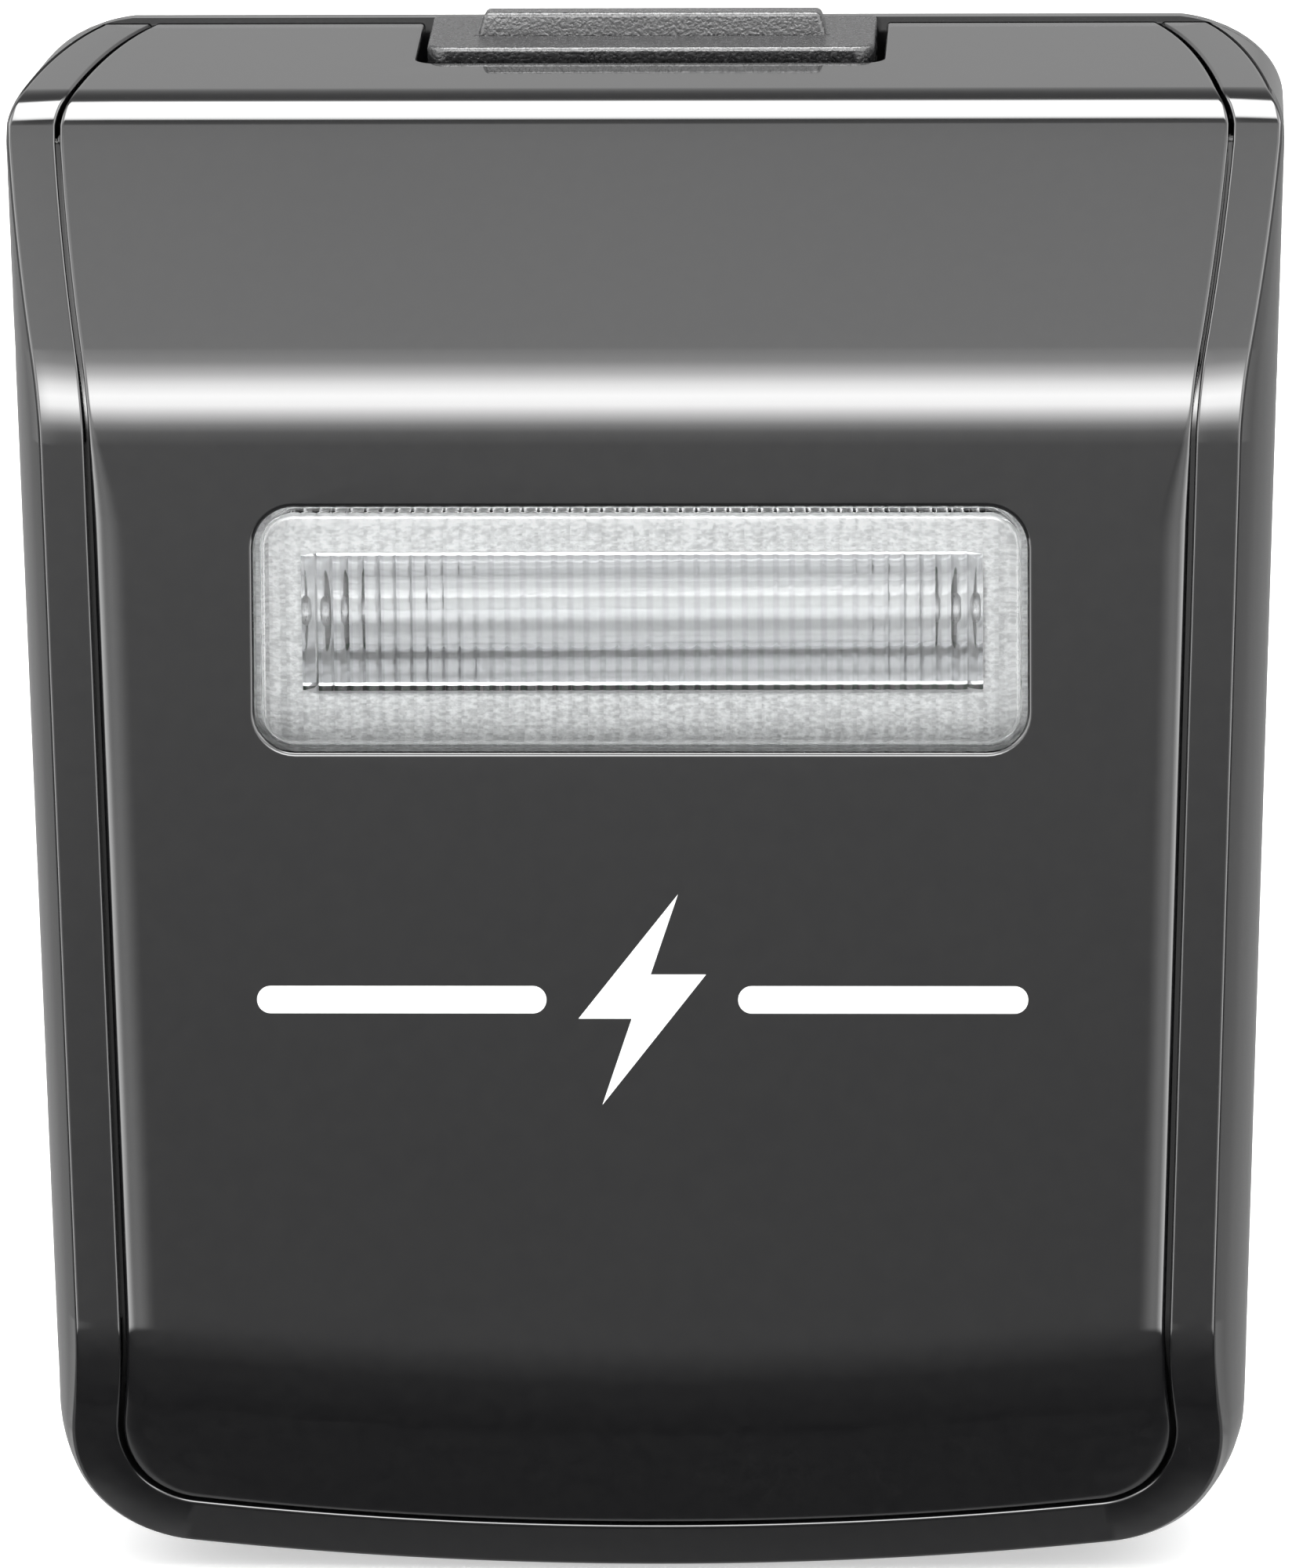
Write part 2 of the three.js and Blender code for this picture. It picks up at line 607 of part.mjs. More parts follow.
// ---- Screws ---------------------------------------------------------------------------------------
// A slotted pan-head screw along Y, its head's outer face at "at" and its shank running the other way.
function screwAlongY(x, z, at, tip) {
  const way = Math.sign(tip - at);
  const seat = at + way * SCREW.head_height;
  const span = (a, b) => [Math.min(a, b), Math.max(a, b)];
  const head = rod(SCREW.head, x, z, ...span(at, seat));
  const shank = rod(SCREW.shank, x, z, ...span(seat - way * 0.2, tip));
  const slotSpan = span(at - way, at + way * SCREW.slot_depth);
  const slot = box(x - 3, x + 3, ...slotSpan, z - SCREW.slot / 2, z + SCREW.slot / 2);
  return cut(join(head, shank), slot);
}

function guideScrew(side) {
  const x = side * GUIDE_SCREW.x;
  const seat = GUIDE.z - GAP;
  const at = seat - SCREW.head_height;
  const head = pillar(SCREW.head, x, GUIDE_SCREW.forward, at, seat);
  const shank = pillar(SCREW.shank, x, GUIDE_SCREW.forward, seat - 0.2, GUIDE_SCREW.tip);
  const { slot, slot_depth } = SCREW;
  const middle = GUIDE_SCREW.forward;
  const groove = box(x - 3, x + 3, middle - slot / 2, middle + slot / 2, at - 1, at + slot_depth);
  return cut(join(head, shank), groove);
}

// ---- Electronics ----------------------------------------------------------------------------------
function circuitBoard() {
  const { half_width, bottom, top, rear, front } = BOARD;
  const hole = (side) => rod(SCREW.pilot, side * BOARD_POST.x, BOARD_POST.z, rear - 1, front + 1);
  const holes = [-1, 1].map(hole);
  return cut(box(-half_width, half_width, rear, front, bottom, top), ...holes);
}

// The flash capacitor lies across the foot of the case, with two leads bent back to the board.
function storageCapacitor() {
  const { radius, half_length, z } = CAPACITOR;
  const middle = ON_BOARD + radius;
  const can = [[-half_length, 0], [-half_length, radius - 0.5], [-half_length + 0.5, radius]];
  can.push([half_length - 0.5, radius], [half_length, radius - 0.5], [half_length, 0]);
  let made = solid(turnedAlongX(can, 24).translate(0, -middle, z));
  for (const dz of [-CAPACITOR.lead_spacing / 2, CAPACITOR.lead_spacing / 2]) {
    const end = -half_length - 1.2;
    const across = box(end, -half_length + 0.3, middle - 0.3, middle + 0.3, z + dz - 0.3, z + dz + 0.3);
    const back = box(end, end + 0.6, ON_BOARD, middle, z + dz - 0.3, z + dz + 0.3);
    made = join(made, across, back);
  }
  return made;
}

// A bobbin between two core plates.
function triggerTransformer() {
  const { x, z, width, height, depth, plate_width } = TRANSFORMER;
  const left = x - width / 2;
  const right = x + width / 2;
  const bottom = z - height / 2;
  const top = z + height / 2;
  const winding = box(left, right, ON_BOARD + 0.8, ON_BOARD + depth - 0.8, bottom + 0.8, top - 0.8);
  const ends = [left, right - plate_width].map((x0) =>
    box(x0, x0 + plate_width, ON_BOARD, ON_BOARD + depth, bottom, top),
  );
  return join(winding, ...ends);
}

function triggerCapacitor() {
  const { x, z, width, height, depth } = FILM_CAPACITOR;
  const body = roundedRectangle(width, height, 0.9, z);
  const geometry = plate(body, ON_BOARD, ON_BOARD + depth, 3);
  return geometry.translate([x, 0, 0]);
}

// A flat power package with its metal tab and three legs.
function powerTransistor() {
  const { x, z, width, height, depth, leg } = TRANSISTOR;
  const left = x - width / 2;
  const pieces = [box(left + 0.6, left + width - 0.6, ON_BOARD, ON_BOARD + 0.7, z, z + height + 1.4)];
  for (const dx of [-2.3, 0, 2.3]) {
    pieces.push(box(x + dx - 0.4, x + dx + 0.4, ON_BOARD, ON_BOARD + 0.5, z - leg, z + 0.5));
  }
  return join(box(left, left + width, ON_BOARD, ON_BOARD + depth, z, z + height), ...pieces);
}

// A square chip with legs along two sides.
function controlChip() {
  const { x, z, size, depth, legs, leg_pitch } = CHIP;
  const half = size / 2;
  const pieces = [];
  for (let i = 0; i < legs; i++) {
    const legX = x + (i - (legs - 1) / 2) * leg_pitch;
    pieces.push(box(legX - 0.2, legX + 0.2, ON_BOARD, ON_BOARD + 0.5, z - half - 0.8, z + half + 0.8));
  }
  return join(box(x - half, x + half, ON_BOARD, ON_BOARD + depth, z - half, z + half), ...pieces);
}

const along = (points, steps, radius) =>
  wireAlong(
    points.map(([x, forward, z]) => new THREE.Vector3(x, -forward, z)),
    radius,
    steps,
  );

// From the end of the tube's electrode, round the holder's ear and back to the board.
function electrodeWire(side) {
  const route = [[21.8, 17, 9.9], [23.4, 16.2, 9.9], [23.9, 13, 9.3], [22.6, 9.6, 5]];
  route.push([19.4, 8, 1.5], [18.4, 6.5, 0.4]);
  return along(route.map(([x, forward, z]) => [side * x, forward, z]), 20, 0.4);
}

function triggerWire() {
  const x = TRANSFORMER.x;
  const start = ON_BOARD + TRANSFORMER.depth + GAP;
  return along([[x, start, TRANSFORMER.z], [x, start + 1.3, 0], [x, 14.6, 3.6], [x, 14.4, 6.8]], 12, 0.35);
}

// ---- The assembly ---------------------------------------------------------------------------------
const flash = new THREE.Group();

function add(name, made, look) {
  const geometry = made.isBufferGeometry ? made : geometryOf(made);
  const mesh = new THREE.Mesh(geometry, look);
  mesh.name = name;
  flash.add(mesh);
  return mesh;
}

const SIDES = [["left", -1], ["right", 1]];

add("front_cover", frontCover(), glossBlack());
add("housing", housing(), glossBlack());
add("rear_cover", rearCover(), glossBlack());
add("window_lens", windowLens(), clear());
add("reflector_holder", reflectorHolder(), whitePlastic());
add("reflector", reflector(), aluminium());
const onTubeAxis = (mesh) => mesh.position.set(0, -TUBE.forward, WINDOW.z);
onTubeAxis(add("flash_tube", glassTube(), clear()));
for (const [name, side] of SIDES) {
  const flip = side > 0 ? 0 : Math.PI;
  const ends = [
    add(`electrode_${name}`, electrode(), steel()),
    add(`tube_sleeve_${name}`, tubeSleeve(), silicone()),
  ];
  for (const mesh of ends) {
    onTubeAxis(mesh);
    mesh.rotation.z = flip;
  }
  add(`electrode_wire_${name}`, electrodeWire(side), silicone());
  for (const [level, dz] of [["lower", -HOLDER_SCREW.dz], ["upper", HOLDER_SCREW.dz]]) {
    const at = EAR.rear - GAP - SCREW.head_height;
    const screw = screwAlongY(side * HOLDER_SCREW.x, WINDOW.z + dz, at, DEPTH - 2.7);
    add(`holder_screw_${level}_${name}`, screw, steel());
  }
  const boardHead = BOARD.front + GAP + SCREW.head_height;
  add(`board_screw_${name}`, screwAlongY(side * BOARD_POST.x, BOARD_POST.z, boardHead, 1.5), steel());
  add(`guide_screw_${name}`, guideScrew(side), steel());
  add(`button_spring_${name}`, spring(side), steel());
  add(`retaining_clip_${name}`, retainingClip(side), steel());
}
add("trigger_wire", triggerWire(), silicone());
add("release_button", releaseButton(), matteBlack());
add("button_guide", buttonGuide(), matteBlack());
add("contact_block", contactBlock(), matteBlack());
for (let i = 0; i < CONTACTS.count; i++) {
  add(`contact_pin_${i + 1}`, contactPin(i), gold());
}
for (const { name, x, z } of REAR_SCREWS) {
  add(`rear_screw_${name}`, screwAlongY(x, z, REAR_FACE, REAR_BOSS.screw_tip), steel());
}
add("circuit_board", circuitBoard(), fibreglass());
add("storage_capacitor", storageCapacitor(), matteBlack());
add("trigger_transformer", triggerTransformer(), ferrite());
add("trigger_capacitor", triggerCapacitor(), ferrite());
add("power_transistor", powerTransistor(), matteBlack());
add("control_chip", controlChip(), matteBlack());

export default flash;
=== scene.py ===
import json
import math

import bmesh
import bpy
from mathutils import Matrix, Vector


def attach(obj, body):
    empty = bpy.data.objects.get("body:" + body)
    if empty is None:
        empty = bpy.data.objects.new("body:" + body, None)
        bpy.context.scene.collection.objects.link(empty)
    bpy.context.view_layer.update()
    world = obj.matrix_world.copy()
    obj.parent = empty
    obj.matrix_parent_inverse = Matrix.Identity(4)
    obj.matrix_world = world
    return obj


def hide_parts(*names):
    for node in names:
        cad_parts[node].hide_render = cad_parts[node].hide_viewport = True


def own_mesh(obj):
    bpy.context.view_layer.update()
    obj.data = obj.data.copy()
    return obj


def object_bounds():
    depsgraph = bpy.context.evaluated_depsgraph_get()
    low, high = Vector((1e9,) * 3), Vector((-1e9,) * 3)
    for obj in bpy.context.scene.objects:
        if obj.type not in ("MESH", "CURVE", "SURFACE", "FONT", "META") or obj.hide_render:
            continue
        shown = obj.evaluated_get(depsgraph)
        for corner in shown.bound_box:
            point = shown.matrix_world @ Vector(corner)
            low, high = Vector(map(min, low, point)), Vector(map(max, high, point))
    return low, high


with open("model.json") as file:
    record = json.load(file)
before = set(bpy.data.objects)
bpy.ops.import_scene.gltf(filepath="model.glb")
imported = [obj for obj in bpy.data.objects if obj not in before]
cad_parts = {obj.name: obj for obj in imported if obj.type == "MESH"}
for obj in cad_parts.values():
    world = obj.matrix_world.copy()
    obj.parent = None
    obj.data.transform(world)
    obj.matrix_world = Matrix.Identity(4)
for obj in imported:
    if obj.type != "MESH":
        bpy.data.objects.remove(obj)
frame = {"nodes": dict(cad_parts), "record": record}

# A small clip-on speedlight flash. Shapes are worked out in millimetres and stored in metres.
# "Forward" is the distance in front of the rear seating plane, so y = -forward.
MM = 0.001
CAD_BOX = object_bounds()

# ---- Driving dimensions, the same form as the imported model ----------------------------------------
BOTTOM_Z = -35.85
HALF_WIDTH_BOTTOM = 28.0
SIDE_TAPER = 0.031
BOW_RADIUS = 215.0
CORNER_RADIUS = 6.8
SHOULDER_Z = 32.4
SHOULDER_ACROSS = 5.9
SHOULDER_UP = 4.15
TOP_REAR_Z = 36.55
TOP_DEPTH = 17.0
CREASE_Z = 34.2
PRINT_THICKNESS = 0.04
DEPTH = 25.0 - PRINT_THICKNESS
BEND_Z = 21.0
CHIN_Z = -25.2
CHIN_ANGLE = math.radians(29.5)
CHIN_BOW = 1.3
CREASE_RADIUS = 3.2
BEND_RADIUS = 8.6
CHIN_RADIUS = 9.0
FLARE = 1.5
WALL = 2.3
GAP = 0.3
COVER_WALL = 1.8
BODY_REAR = 2.5

WINDOW_Z = 9.9
WINDOW_WIDTH = 36.2
WINDOW_HEIGHT = 11.55
WINDOW_RADIUS = 1.9
TUBE_FORWARD = 17.0


# ---- Small helpers --------------------------------------------------------------------------------
def link(name, verts, faces, merge=1e-4):
    """A mesh object from points in millimetres, with coincident points merged."""
    mesh = bpy.data.meshes.new(name)
    mesh.from_pydata([Vector(v) * MM for v in verts], [], faces)
    obj = bpy.data.objects.new(name, mesh)
    bpy.context.scene.collection.objects.link(obj)
    clean(obj, merge)
    return obj


def clean(obj, merge=1e-4):
    bm = bmesh.new()
    bm.from_mesh(obj.data)
    bmesh.ops.remove_doubles(bm, verts=bm.verts, dist=merge * MM)
    bmesh.ops.dissolve_degenerate(bm, edges=bm.edges, dist=merge * MM)
    bmesh.ops.recalc_face_normals(bm, faces=bm.faces)
    bm.to_mesh(obj.data)
    bm.free()


def smooth(obj, angle=32):
    obj.data.shade_smooth()
    obj.data.set_sharp_from_angle(angle=math.radians(angle))
    return obj


def bake_modifiers(obj):
    graph = bpy.context.evaluated_depsgraph_get()
    mesh = bpy.data.meshes.new_from_object(obj.evaluated_get(graph))
    obj.modifiers.clear()
    obj.data = mesh


def boolean(obj, tool, operation):
    modifier = obj.modifiers.new("cut", "BOOLEAN")
    modifier.operation = operation
    modifier.solver = "EXACT"
    modifier.object = tool
    bpy.context.view_layer.update()
    bake_modifiers(obj)
    bpy.data.objects.remove(tool)
    return obj


def bevel(obj, width, segments=3, pick=None, angle=35):
    """Rounds the sharp edges whose middle, in millimetres, satisfies pick."""
    bm = bmesh.new()
    bm.from_mesh(obj.data)
    bmesh.ops.remove_doubles(bm, verts=bm.verts, dist=1e-3 * MM)
    bmesh.ops.dissolve_limit(bm, angle_limit=math.radians(0.5), verts=bm.verts, edges=bm.edges)
    limit = math.radians(angle)
    edges = [e for e in bm.edges if len(e.link_faces) == 2 and e.calc_face_angle(0) > limit]
    if pick:
        edges = [e for e in edges if pick((e.verts[0].co + e.verts[1].co) / 2 / MM)]
    bmesh.ops.bevel(bm, geom=edges, offset=width * MM, segments=segments, profile=0.5,
                    affect="EDGES", clamp_overlap=True)
    bm.to_mesh(obj.data)
    bm.free()
    return obj


def block(name, x, forward, z, width=0.0, segments=3):
    """A box between pairs of limits, with its edges rounded by width."""
    verts = [(a, -f, c) for a in x for f in forward for c in z]
    faces = [(0, 1, 3, 2), (4, 6, 7, 5), (0, 4, 5, 1), (2, 3, 7, 6), (0, 2, 6, 4), (1, 5, 7, 3)]
    obj = link(name, verts, faces)
    return bevel(obj, width, segments) if width else obj


def prism(name, outline, rear, front):
    """A closed outline of (x, z) points as a plate between two forward distances."""
    n = len(outline)
    verts = [(x, -f, z) for f in (rear, front) for x, z in outline]
    faces = [tuple(range(n)), tuple(range(2 * n - 1, n - 1, -1))]
    faces += [(i, (i + 1) % n, n + (i + 1) % n, n + i) for i in range(n)]
    return link(name, verts, faces)


def rounded(width, height, radius, z=0.0, x=0.0, steps=10):
    points = []
    corners = ((1, 1, 0), (-1, 1, 90), (-1, -1, 180), (1, -1, 270))
    for sx, sz, start in corners:
        cx = x + sx * (width / 2 - radius)
        cz = z + sz * (height / 2 - radius)
        for i in range(steps + 1):
            a = math.radians(start + 90 * i / steps)
            points.append((cx + radius * math.cos(a), cz + radius * math.sin(a)))
    return points


def turned(name, profile, centre, axis="X", sides=48):
    """A closed (along, radius) profile turned about an axis through centre, in millimetres."""
    n = len(profile)
    verts, faces = [], []
    for k in range(sides):
        a = 2 * math.pi * k / sides
        for along, r in profile:
            u, v = r * math.cos(a), r * math.sin(a)
            local = {"X": (along, u, v), "Y": (u, along, v), "Z": (u, v, along)}[axis]
            verts.append(Vector(centre) + Vector(local))
    for k in range(sides):
        m = (k + 1) % sides
        faces += [(k * n + i, k * n + (i + 1) % n, m * n + (i + 1) % n, m * n + i) for i in range(n)]
    return link(name, verts, faces)


def place(obj, body, slot_name, material, *nodes, angle=32, weighted=False):
    """Gives a finished piece its material and body, and stands it for its CAD nodes."""
    smooth(obj, angle)
    if weighted:
        weigh = obj.modifiers.new("weigh", "WEIGHTED_NORMAL")
        weigh.keep_sharp = True
        bpy.context.view_layer.update()
        bake_modifiers(obj)
    obj.data.materials.clear()
    obj.data.materials.append(material)
    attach(obj, body)
    if nodes:
        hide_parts(*nodes)
    return obj


# ---- The body's outer form ------------------------------------------------------------------------
def side_x(z):
    return HALF_WIDTH_BOTTOM + SIDE_TAPER * (z - BOTTOM_Z)


def top_z(forward):
    return TOP_REAR_Z - (TOP_REAR_Z - CREASE_Z) * forward / TOP_DEPTH


def profile_arcs():
    """Each rounding of the side profile as (centre forward, centre z, radius, lower and upper elevation)."""
    top = math.atan2(TOP_DEPTH, TOP_REAR_Z - CREASE_Z)
    upper = math.atan2(DEPTH - TOP_DEPTH, CREASE_Z - BEND_Z)
    rows = ((TOP_DEPTH, CREASE_Z, CREASE_RADIUS, upper, top), (DEPTH, BEND_Z, BEND_RADIUS, 0.0, upper),
            (DEPTH, CHIN_Z, CHIN_RADIUS, -CHIN_ANGLE, 0.0))
    arcs = []
    for f, z, r, low, high in rows:
        share = r / (1 + math.cos(high - low))
        cf = f - share * (math.cos(low) + math.cos(high))
        cz = z - share * (math.sin(low) + math.sin(high))
        arcs.append((cf, cz, r, low, high))
    return arcs


ARCS = profile_arcs()


def profile_at(z):
    """(forward, elevation of the normal) of the outer skin at height z."""
    for cf, cz, r, low, high in ARCS:
        if cz + r * math.sin(low) <= z <= cz + r * math.sin(high):
            a = math.asin((z - cz) / r)
            return cf + r * math.cos(a), a
    (_, _, _, upper, top), (_, _, _, _, _), _ = ARCS
    if z > CREASE_Z - 0.2:
        return (TOP_REAR_Z - z) * TOP_DEPTH / (TOP_REAR_Z - CREASE_Z), top
    if z > BEND_Z:
        return TOP_DEPTH + (CREASE_Z - z) * math.tan(upper), upper
    if z > CHIN_Z:
        return DEPTH, 0.0
    return DEPTH - (CHIN_Z - z) * math.tan(CHIN_ANGLE), -CHIN_ANGLE


def flare_scale(forward):
    t = max(0.0, (forward - TOP_DEPTH) / (25.0 - TOP_DEPTH))
    return 1 - FLARE * (0.45 * t + 0.55 * t * t) / HALF_WIDTH_BOTTOM


def skin(x, z, sink=0.0):
    """The point of the outer skin at (x, z), moved inwards by sink. The chin's fold follows the bowed foot."""
    sag = BOW_RADIUS - math.sqrt(BOW_RADIUS ** 2 - x * x)
    lift = max(0.0, CHIN_BOW - sag) * min(max((10.0 - z) / 25.0, 0.0), 1.0)
    forward, a = profile_at(z + lift)
    f = max(forward - sink * math.cos(a), BODY_REAR)
    return Vector((x * flare_scale(forward), -f, z - sink * math.sin(a)))


def corner_centre():
    stretch = math.hypot(1, SIDE_TAPER)
    x0 = HALF_WIDTH_BOTTOM - CORNER_RADIUS * stretch
    b = 2 * (x0 * SIDE_TAPER - BOW_RADIUS)
    c = x0 ** 2 + BOW_RADIUS ** 2 - (BOW_RADIUS - CORNER_RADIUS) ** 2
    a = stretch ** 2
    height = (-b - math.sqrt(b * b - 4 * a * c)) / (2 * a)
    return x0 + SIDE_TAPER * height, BOTTOM_Z + height


CORNER = corner_centre()
TOP_END_Z = top_z(BODY_REAR)


def spread(start, end, count):
    return [start + (end - start) * i / count for i in range(count)]


def side_levels():
    """Heights down one side, close together where the profile turns."""
    crease, bend, chin = ARCS
    levels = spread(TOP_END_Z, crease[1] + crease[2] * math.sin(crease[4]), 12)
    for index, (arc, count) in enumerate(((crease, 26), (bend, 30), (chin, 20))):
        _, cz, r, low, high = arc
        levels += [cz + r * math.sin(a) for a in spread(high, low, count)]
        start = cz + r * math.sin(low)
        if index < 2:
            following = ARCS[index + 1]
            levels += spread(start, following[1] + following[2] * math.sin(following[4]), (12, 34)[index])
        else:
            levels += spread(start, CORNER[1] - 0.2, 6)
    return levels


LEVELS = side_levels()
CORNER_STEPS = 22
BOW_STEPS = 26


def half_outline(inset):
    """Right half of the front outline, from the rear of the top down to the middle of the bottom."""
    points = []
    shoulder_x = side_x(SHOULDER_Z) - inset - SHOULDER_ACROSS
    for z in LEVELS:
        if z > SHOULDER_Z:
            t = min(1.0, (z - SHOULDER_Z) / SHOULDER_UP)
            points.append((shoulder_x + SHOULDER_ACROSS * math.sqrt(1 - t * t), z))
        else:
            points.append((side_x(z) - inset * math.hypot(1, SIDE_TAPER), z))
    radius = max(CORNER_RADIUS - inset, 0.3)
    bow_z = BOTTOM_Z + BOW_RADIUS
    start = -math.atan(SIDE_TAPER)
    end = math.atan2(CORNER[1] - bow_z, CORNER[0])
    for a in spread(start, end, CORNER_STEPS):
        points.append((CORNER[0] + radius * math.cos(a), CORNER[1] + radius * math.sin(a)))
    inner = BOW_RADIUS - inset
    for i in range(BOW_STEPS + 1):
        a = end + (-math.pi / 2 - end) * i / BOW_STEPS
        points.append((inner * math.cos(a), bow_z + inner * math.sin(a)))
    points[-1] = (0.0, bow_z - inner)
    return points


# ---- Camera and light -----------------------------------------------------------------------------
CAMERA_TARGET = Vector((-0.29, -12.0, -1.0))
CAMERA_AIM_UP = 1.72
CAMERA_AZIMUTH = math.radians(2.31)
CAMERA_ELEVATION = math.radians(8.5)
CAMERA_ROLL = math.radians(0.33)
CAMERA_DISTANCE = 700.0
FRAME_HEIGHT = 74.82  # the stretch that the picture's height spans at the target
SENSOR = 36.0


def add_camera():
    data = bpy.data.cameras.new("camera")
    data.sensor_width = SENSOR
    data.lens = SENSOR * CAMERA_DISTANCE / FRAME_HEIGHT
    data.clip_start = 0.01
    camera = bpy.data.objects.new("camera", data)
    bpy.context.scene.collection.objects.link(camera)
    out = Vector((math.sin(CAMERA_AZIMUTH) * math.cos(CAMERA_ELEVATION),
                  -math.cos(CAMERA_AZIMUTH) * math.cos(CAMERA_ELEVATION), math.sin(CAMERA_ELEVATION)))
    place_at = CAMERA_TARGET + out * CAMERA_DISTANCE
    ahead = (CAMERA_TARGET + Vector((0, 0, CAMERA_AIM_UP)) - place_at).normalized()
    right = ahead.cross(Vector((0, 0, 1))).normalized()
    up = right.cross(ahead)
    c, s = math.cos(CAMERA_ROLL), math.sin(CAMERA_ROLL)
    turned_right = c * right - s * up
    turned_up = c * up + s * right
    basis = Matrix((turned_right, turned_up, -ahead)).transposed()
    camera.matrix_world = Matrix.Translation(place_at * MM) @ basis.to_4x4()
    bpy.context.scene.camera = camera


class Graph:
    """Short forms for making shader nodes."""

    def __init__(self, tree):
        self.tree = tree

    def node(self, kind, **inputs):
        made = self.tree.nodes.new(kind)
        for key, value in inputs.items():
            socket = made.inputs[int(key[1:])] if key[0] == "i" and key[1:].isdigit() else None
            if socket is None:
                setattr(made, key, value)
            elif isinstance(value, bpy.types.NodeSocket):
                self.tree.links.new(value, socket)
            else:
                socket.default_value = value
        return made

    def math(self, operation, a, b=0.0, clamp=False):
        return self.node("ShaderNodeMath", operation=operation, use_clamp=clamp, i0=a, i1=b).outputs[0]

    def ramp(self, factor, stops, interpolation="LINEAR"):
        made = self.node("ShaderNodeValToRGB", i0=factor)
        elements = made.color_ramp.elements
        made.color_ramp.interpolation = interpolation
        while len(elements) < len(stops):
            elements.new(1.0)
        for element, (position, value) in zip(elements, stops):
            element.position = position
            element.color = (value, value, value, 1) if isinstance(value, float) else (*value, 1)
        return made.outputs[0]


# What a mirror would see of the studio, by the angle up from straight ahead, over the top and behind:
# a strong front softbox, a dark gap above it, a strong overhead softbox, then plain room.
BRIGHTEST = 24.0
STUDIO = ((-180, 0.35), (-110, 0.6), (-86, 0.9), (-76, 0.3), (-68, 0.07), (-35, 0.24), (-20, 0.62), (-10.2, 0.86),
          (-8.5, 1.08), (-6.8, 1.42), (1, 2.2), (6, 5), (12, 12.5), (18, 22), (24, 24), (31, 19),
          (38, 11), (46, 5.4), (54, 4.15), (56.5, 3.3), (59, 1.3), (66, 0.75), (69.5, 20), (73, 24), (104, 24),
          (110, 1.1), (116, 0.55), (128, 0.5), (152, 0.8), (162, 0.84), (168, 0.7), (180, 0.35))
WIDE_LIMIT = 3.0
SIDE_SOFTBOX = 8.0
SIDE_GLOW = 2.2
THROUGH_GLASS = 1.0
GLASS_CONTRAST = 0.05
DIFFUSE_LIGHT = 1.45


def add_world():
    world = bpy.data.worlds.new("studio")
    bpy.context.scene.world = world
    world.use_nodes = True
    tree = world.node_tree
    tree.nodes.clear()
    g = Graph(tree)
    direction = g.node("ShaderNodeTexCoord").outputs["Generated"]
    axes = g.node("ShaderNodeSeparateXYZ", i0=direction)
    x, y, z = axes.outputs
    forward = g.math("MULTIPLY", y, -1.0)
    angle = g.math("ARCTAN2", z, forward)
    share = g.math("ADD", g.math("DIVIDE", angle, 2 * math.pi), 0.5)
    stops = [((a + 180) / 360, level / BRIGHTEST) for a, level in STUDIO]
    ahead = g.math("MULTIPLY", g.ramp(share, stops), BRIGHTEST)
    across = g.math("ABSOLUTE", x)

    def step(value, low, high):
        return g.node("ShaderNodeMapRange", interpolation_type="SMOOTHSTEP", i0=value, i1=low, i2=high).outputs[0]

    def mix(share, low, high):
        return g.math("ADD", g.math("MULTIPLY", g.math("SUBTRACT", 1.0, share), low), g.math("MULTIPLY", share, high))

    # the softboxes are narrow: further round to the sides the studio is dimmer
    ahead = mix(step(across, 0.12, 0.4), ahead, g.math("MINIMUM", ahead, WIDE_LIMIT))
    in_front = step(forward, -0.55, -0.2)
    level = g.math("MULTIPLY", step(z, -0.32, -0.26), g.math("SUBTRACT", 1.0, step(across, 0.82, 0.92)))
    beside = g.math("MULTIPLY", in_front, level)
    mirror = mix(g.math("MULTIPLY", step(across, 0.5, 0.85), beside), ahead, SIDE_SOFTBOX)
    glow = g.math("MULTIPLY", step(across, 0.05, 0.42), beside)
    mirror = g.math("ADD", mirror, g.math("MULTIPLY", glow, SIDE_GLOW))
    path = g.node("ShaderNodeLightPath").outputs
    plain = g.math("MULTIPLY", path["Is Diffuse Ray"], DIFFUSE_LIGHT)
    seen = g.math("ADD", path["Is Camera Ray"], plain)
    through = path["Is Transmission Ray"]
    soft = g.math("ADD", g.math("MULTIPLY", mirror, GLASS_CONTRAST), THROUGH_GLASS)
    glass = g.math("MULTIPLY", through, soft)
    reflected = g.math("MULTIPLY", path["Is Glossy Ray"], g.math("SUBTRACT", 1.0, through))
    glossy = g.math("MULTIPLY", reflected, mirror)
    strength = g.math("ADD", g.math("ADD", seen, glass), glossy)
    background = g.node("ShaderNodeBackground", i0=(1, 1, 1, 1), i1=strength)
    output = g.node("ShaderNodeOutputWorld")
    tree.links.new(background.outputs[0], output.inputs[0])


# ---- Materials ------------------------------------------------------------------------------------
def shader(name, **sockets):
    """A material with one Principled shader, and the graph to add detail with."""
    made = bpy.data.materials.new(name)
    made.use_nodes = True
    tree = made.node_tree
    principled = tree.nodes["Principled BSDF"]
    for key, value in sockets.items():
        principled.inputs[key.replace("_", " ").title().replace("Ior", "IOR")].default_value = value
    return made, Graph(tree), principled


def noise(g, per_metre, detail=3.0, stretch=(1, 1, 1)):
    place_in = g.node("ShaderNodeTexCoord").outputs["Object"]
    if stretch != (1, 1, 1):
        place_in = g.node("ShaderNodeMapping", i0=place_in, i3=stretch).outputs[0]
    made = g.node("ShaderNodeTexNoise", i0=place_in)
    made.inputs["Scale"].default_value = per_metre
    made.inputs["Detail"].default_value = detail
    return made.outputs[0]


